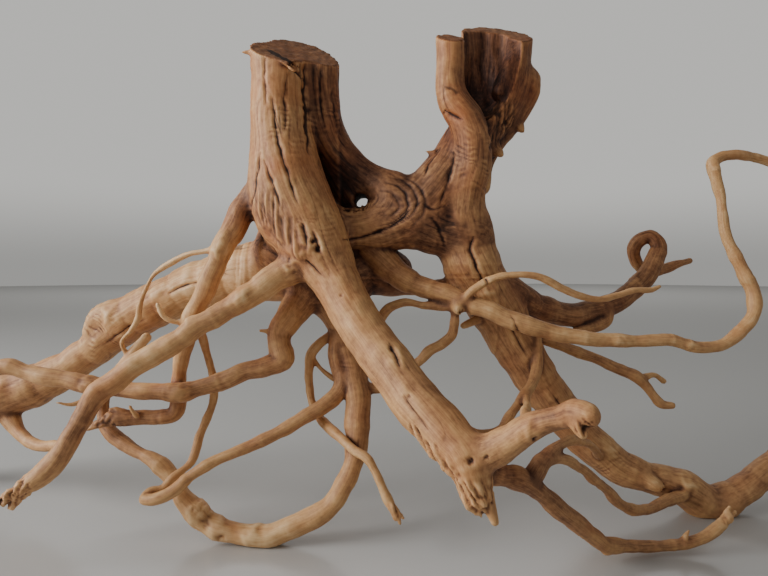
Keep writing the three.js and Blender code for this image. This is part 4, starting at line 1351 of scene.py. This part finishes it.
class RootSettings(bpy.types.PropertyGroup):
    """The surface and the colours of the wood"""

    pitch: bpy.props.FloatProperty(
        name="Pitch",
        description="Side of the cells the wood's surface is found in, mm",
        default=1.5,
        min=1.0,
        max=6.0,
    )
    quick_pitch: bpy.props.FloatProperty(
        name="Quick pitch",
        description="The same while trying things, mm",
        default=1.5,
        min=1.0,
        max=6.0,
    )
    melt: bpy.props.FloatProperty(
        name="Melt",
        description="Width of the fillet between two limbs, as a share of the thinner one's radius",
        default=0.6,
        min=0.0,
        max=2.0,
    )
    widest_melt: bpy.props.FloatProperty(
        name="Widest melt",
        description="Most a fillet may be wide, mm",
        default=12.0,
        min=0.0,
        max=30.0,
    )
    relief: bpy.props.FloatProperty(
        name="Relief",
        description="How strongly the ridges and furrows of the wood stand out",
        default=1.0,
        min=0.0,
        max=3.0,
    )
    wander: bpy.props.FloatProperty(
        name="Wander",
        description="How far a limb strays from its smooth line, as a share of its radius",
        default=0.16,
        min=0.0,
        max=1.0,
    )
    knobs: bpy.props.FloatProperty(
        name="Knobs",
        description="How much a limb's girth swells and shrinks, as a share of it",
        default=0.09,
        min=0.0,
        max=0.5,
    )
    # Crevice and dark wood show mostly where painted shade darkens sunk places; light wood shows
    # partly where ridges are painted lighter.
    crevice: colour_setting("Crevice", "Wood at the bottom of the deepest furrows", "#1e0f08")
    dark_wood: colour_setting("Dark wood", "Wood between ridges", "#4a2a1b")
    brown_wood: colour_setting("Brown wood", "Wood on the flanks of ridges", "#8a5e40")
    tan_wood: colour_setting("Tan wood", "Smooth wood", "#ba875b")
    light_wood: colour_setting("Light wood", "Wood on worn ridges", "#d6a56f")
    bleached_wood: colour_setting("Bleached wood", "The palest streaks", "#e9c28f")
    red_tint: colour_setting("Red tint", "What multiplies the colour of redder wood", "#e0b298")
    torn_wood: colour_setting("Torn wood", "Fresh torn fibres", "#c98c5a")
    painted_shade: colour_setting("Painted shade", "Cracks and pits", "#22100a")


class StageSettings(bpy.types.PropertyGroup):
    """The floor, the light and the camera"""

    floor_radius: bpy.props.FloatProperty(
        name="Floor radius",
        description="How far the round floor reaches",
        default=9.0,
        unit="LENGTH",
    )
    floor_roughness: bpy.props.FloatProperty(
        name="Floor roughness",
        description="How blurred the floor's reflection is",
        default=0.28,
        subtype="FACTOR",
        min=0.0,
        max=1.0,
    )
    lens: bpy.props.FloatProperty(
        name="Lens",
        description="Focal length of the camera",
        default=27.0,
        unit="CAMERA",
    )
    window_power: bpy.props.FloatProperty(
        name="Window power",
        description="Power of the large soft lamp on the left",
        default=74.0,
        unit="POWER",
    )
    fill_power: bpy.props.FloatProperty(
        name="Fill power",
        description="Power of the weak lamp on the right",
        default=3.0,
        unit="POWER",
    )
    far_power: bpy.props.FloatProperty(
        name="Far power",
        description="Power of the lamp over the floor far behind the root",
        default=110.0,
        unit="POWER",
    )
    sky: bpy.props.FloatProperty(
        name="Sky",
        description="Strength of the pale light from all round",
        default=0.34,
        min=0.0,
        max=3.0,
    )
    backdrop: bpy.props.FloatProperty(
        name="Backdrop",
        description="Strength of the pale ground seen behind the root",
        default=0.85,
        min=0.0,
        max=3.0,
    )
    horizon: bpy.props.FloatProperty(
        name="Horizon",
        description="Strength of the same where it meets the floor",
        default=0.5,
        min=0.0,
        max=3.0,
    )
    floor_colour: colour_setting("Floor colour", "Colour of the glaze", "#b9b8b5")
    backdrop_colour: colour_setting("Backdrop colour", "Colour of the pale light", "#d9d8d4")


# ---- operators -------------------------------------------------------------------------


def all_limbs():
    """Every limb by name, in the order in which they are melted together."""
    groups = (STUMPS, LEGS, LEFT_ROOTS, MIDDLE_ROOTS, FRONT_ROOTS, RIGHT_ROOTS, SPLINTERS)
    return {name: stations for group in groups for name, stations in group.items()}


def limb_runs(settings):
    """Every limb as a run of close stations, with the small irregularities of a grown thing."""
    runs = {}
    for number, (name, stations) in enumerate(all_limbs().items()):
        girth = np.median([station[3] for station in stations])
        run = smooth_run(stations, float(np.clip(LINE_STEP * girth, *STEP_LIMITS)))
        stout = name in STUMPS or name in SPLINTERS
        wander = 0.0 if stout else settings.wander
        knobs = 0.0 if stout else settings.knobs
        runs[name] = roughened(run, SEED + LINE_SEEDS * number, wander, knobs)
    return runs


def wood_skin(runs, settings):
    """The surface of all the limbs melted together and cut, mm."""
    pitch = settings.pitch
    stations = np.concatenate(list(runs.values()))
    low = stations[:, :3].min(0) - GRID_ROOM
    high = stations[:, :3].max(0) + GRID_ROOM
    low[2] = -CELLS_UNDER_FLOOR * pitch
    field = DistanceField(low, high, pitch)
    for run in runs.values():
        melt = min(settings.melt * float(np.median(run[:, 3])), settings.widest_melt)
        field.add(run, max(melt, LEAST_MELT))
    for cutter in (STUMP_HOLLOW, HOLLOW_MOUTH, SADDLE_HOLE):
        field.carve(smooth_run(cutter, CUTTER_STEP), CUTTER_MELT)
    field.add(smooth_run(HOLLOW_RIDGE, CUTTER_STEP), RIDGE_MELT)
    for cut in SAW_CUTS.values():
        field.saw(**cut)
    field.stand()
    return field.skin()


def mesh_from(name, points, quads, values):
    """A smooth-shaded mesh with its values at the vertices."""
    mesh = bpy.data.meshes.new(name)
    mesh.vertices.add(len(points))
    mesh.vertices.foreach_set("co", points.astype(np.float32).ravel())
    mesh.loops.add(quads.size)
    mesh.loops.foreach_set("vertex_index", quads.astype(np.int32).ravel())
    mesh.polygons.add(len(quads))
    mesh.polygons.foreach_set("loop_start", np.arange(0, quads.size, 4, dtype=np.int32))
    mesh.update(calc_edges=True)
    mesh.polygons.foreach_set("use_smooth", np.ones(len(quads), bool))
    for key, value in values.items():
        kind = "FLOAT_VECTOR" if value.ndim == 2 else "FLOAT"
        attribute = mesh.attributes.new(key, kind, "POINT")
        field = "vector" if value.ndim == 2 else "value"
        attribute.data.foreach_set(field, value.astype(np.float32).ravel())
    mesh.validate()
    return mesh


class ROOT_OT_wood(bpy.types.Operator):
    """Builds the dry root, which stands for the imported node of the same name"""

    bl_idname = "dry_root.wood"
    bl_label = "Root"

    def execute(self, context):
        settings = context.scene.dry_root
        runs = limb_runs(settings)
        points, quads = wood_skin(runs, settings)
        points, values = carved(points, quads, runs, settings)
        points = (points + DRAWING_TO_FRAME) * MM
        mesh = mesh_from("dry_root_wood", points, quads, values)
        piece = bpy.data.objects.new("dry_root_wood", mesh)
        context.scene.collection.objects.link(piece)
        mesh.materials.append(washed_root_wood(settings))
        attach(piece, "root")
        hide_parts("root")
        return {"FINISHED"}


def soft_lamp(context, name, lamp, power):
    """A large soft lamp of the given power, turned to the point it looks at."""
    light = bpy.data.lights.new(name, "AREA")
    light.shape = "RECTANGLE"
    light.size, light.size_y = lamp["size"]
    light.energy = power
    piece = bpy.data.objects.new(name, light)
    look = Vector(lamp["to"]) - Vector(lamp["at"])
    turn = look.to_track_quat("-Z", "Y").to_matrix().to_4x4()
    piece.matrix_world = Matrix.Translation(lamp["at"]) @ turn
    context.scene.collection.objects.link(piece)


def round_floor(settings):
    """A flat disc, so that no corner of the floor shows from any side."""
    turns = [2 * math.pi * corner / FLOOR_CORNERS for corner in range(FLOOR_CORNERS)]
    radius = settings.floor_radius
    rim = [(radius * math.cos(turn), radius * math.sin(turn), 0) for turn in turns]
    mesh = bpy.data.meshes.new("floor")
    mesh.from_pydata(rim, [], [range(FLOOR_CORNERS)])
    mesh.materials.append(glazed_floor(settings))
    return bpy.data.objects.new("floor", mesh)


def level_camera(settings):
    """A camera that looks straight along +Y, level with the middle of the root."""
    camera = bpy.data.cameras.new("camera")
    camera.lens = settings.lens
    camera.sensor_width = SENSOR_WIDTH
    camera.shift_y = -CAMERA_SHIFT_DOWN
    camera.clip_start = NEAREST_SEEN
    view = bpy.data.objects.new("camera", camera)
    view.location = CAMERA_AT
    view.rotation_euler = (math.pi / 2, 0, 0)
    return view


class ROOT_OT_stage(bpy.types.Operator):
    """Builds the floor, the soft studio light and the camera"""

    bl_idname = "dry_root.stage"
    bl_label = "Stage"

    def execute(self, context):
        settings = context.scene.dry_root_stage
        floor = round_floor(settings)
        context.scene.collection.objects.link(floor)
        soft_lamp(context, "window", WINDOW, settings.window_power)
        soft_lamp(context, "fill", FILL, settings.fill_power)
        soft_lamp(context, "far lamp", FAR_LAMP, settings.far_power)
        context.scene.world = studio_world(settings)
        view = level_camera(settings)
        context.scene.collection.objects.link(view)
        context.scene.camera = view
        return {"FINISHED"}


class ROOT_PT_panel(bpy.types.Panel):
    """Lists what this add-on builds"""

    bl_idname = "ROOT_PT_panel"
    bl_label = "Dry root"
    bl_space_type = "VIEW_3D"
    bl_region_type = "UI"
    bl_category = "Root"

    def draw(self, context):
        layout = self.layout
        for settings in (context.scene.dry_root, context.scene.dry_root_stage):
            for name in settings.bl_rna.properties.keys():
                if name not in ("rna_type", "name"):
                    layout.prop(settings, name)
        layout.operator("dry_root.wood")
        layout.operator("dry_root.stage")


CLASSES = (RootSettings, StageSettings, ROOT_OT_wood, ROOT_OT_stage, ROOT_PT_panel)


def register():
    """Makes the settings, the operators and the panel known to Blender."""
    for made in CLASSES:
        bpy.utils.register_class(made)
    bpy.types.Scene.dry_root = bpy.props.PointerProperty(type=RootSettings)
    bpy.types.Scene.dry_root_stage = bpy.props.PointerProperty(type=StageSettings)


def unregister():
    """Takes them away again."""
    del bpy.types.Scene.dry_root_stage
    del bpy.types.Scene.dry_root
    for made in reversed(CLASSES):
        bpy.utils.unregister_class(made)


def main():
    """Builds the root and the stage."""
    register()
    bpy.ops.dry_root.wood()
    bpy.ops.dry_root.stage()


if __name__ == "__main__":
    main()
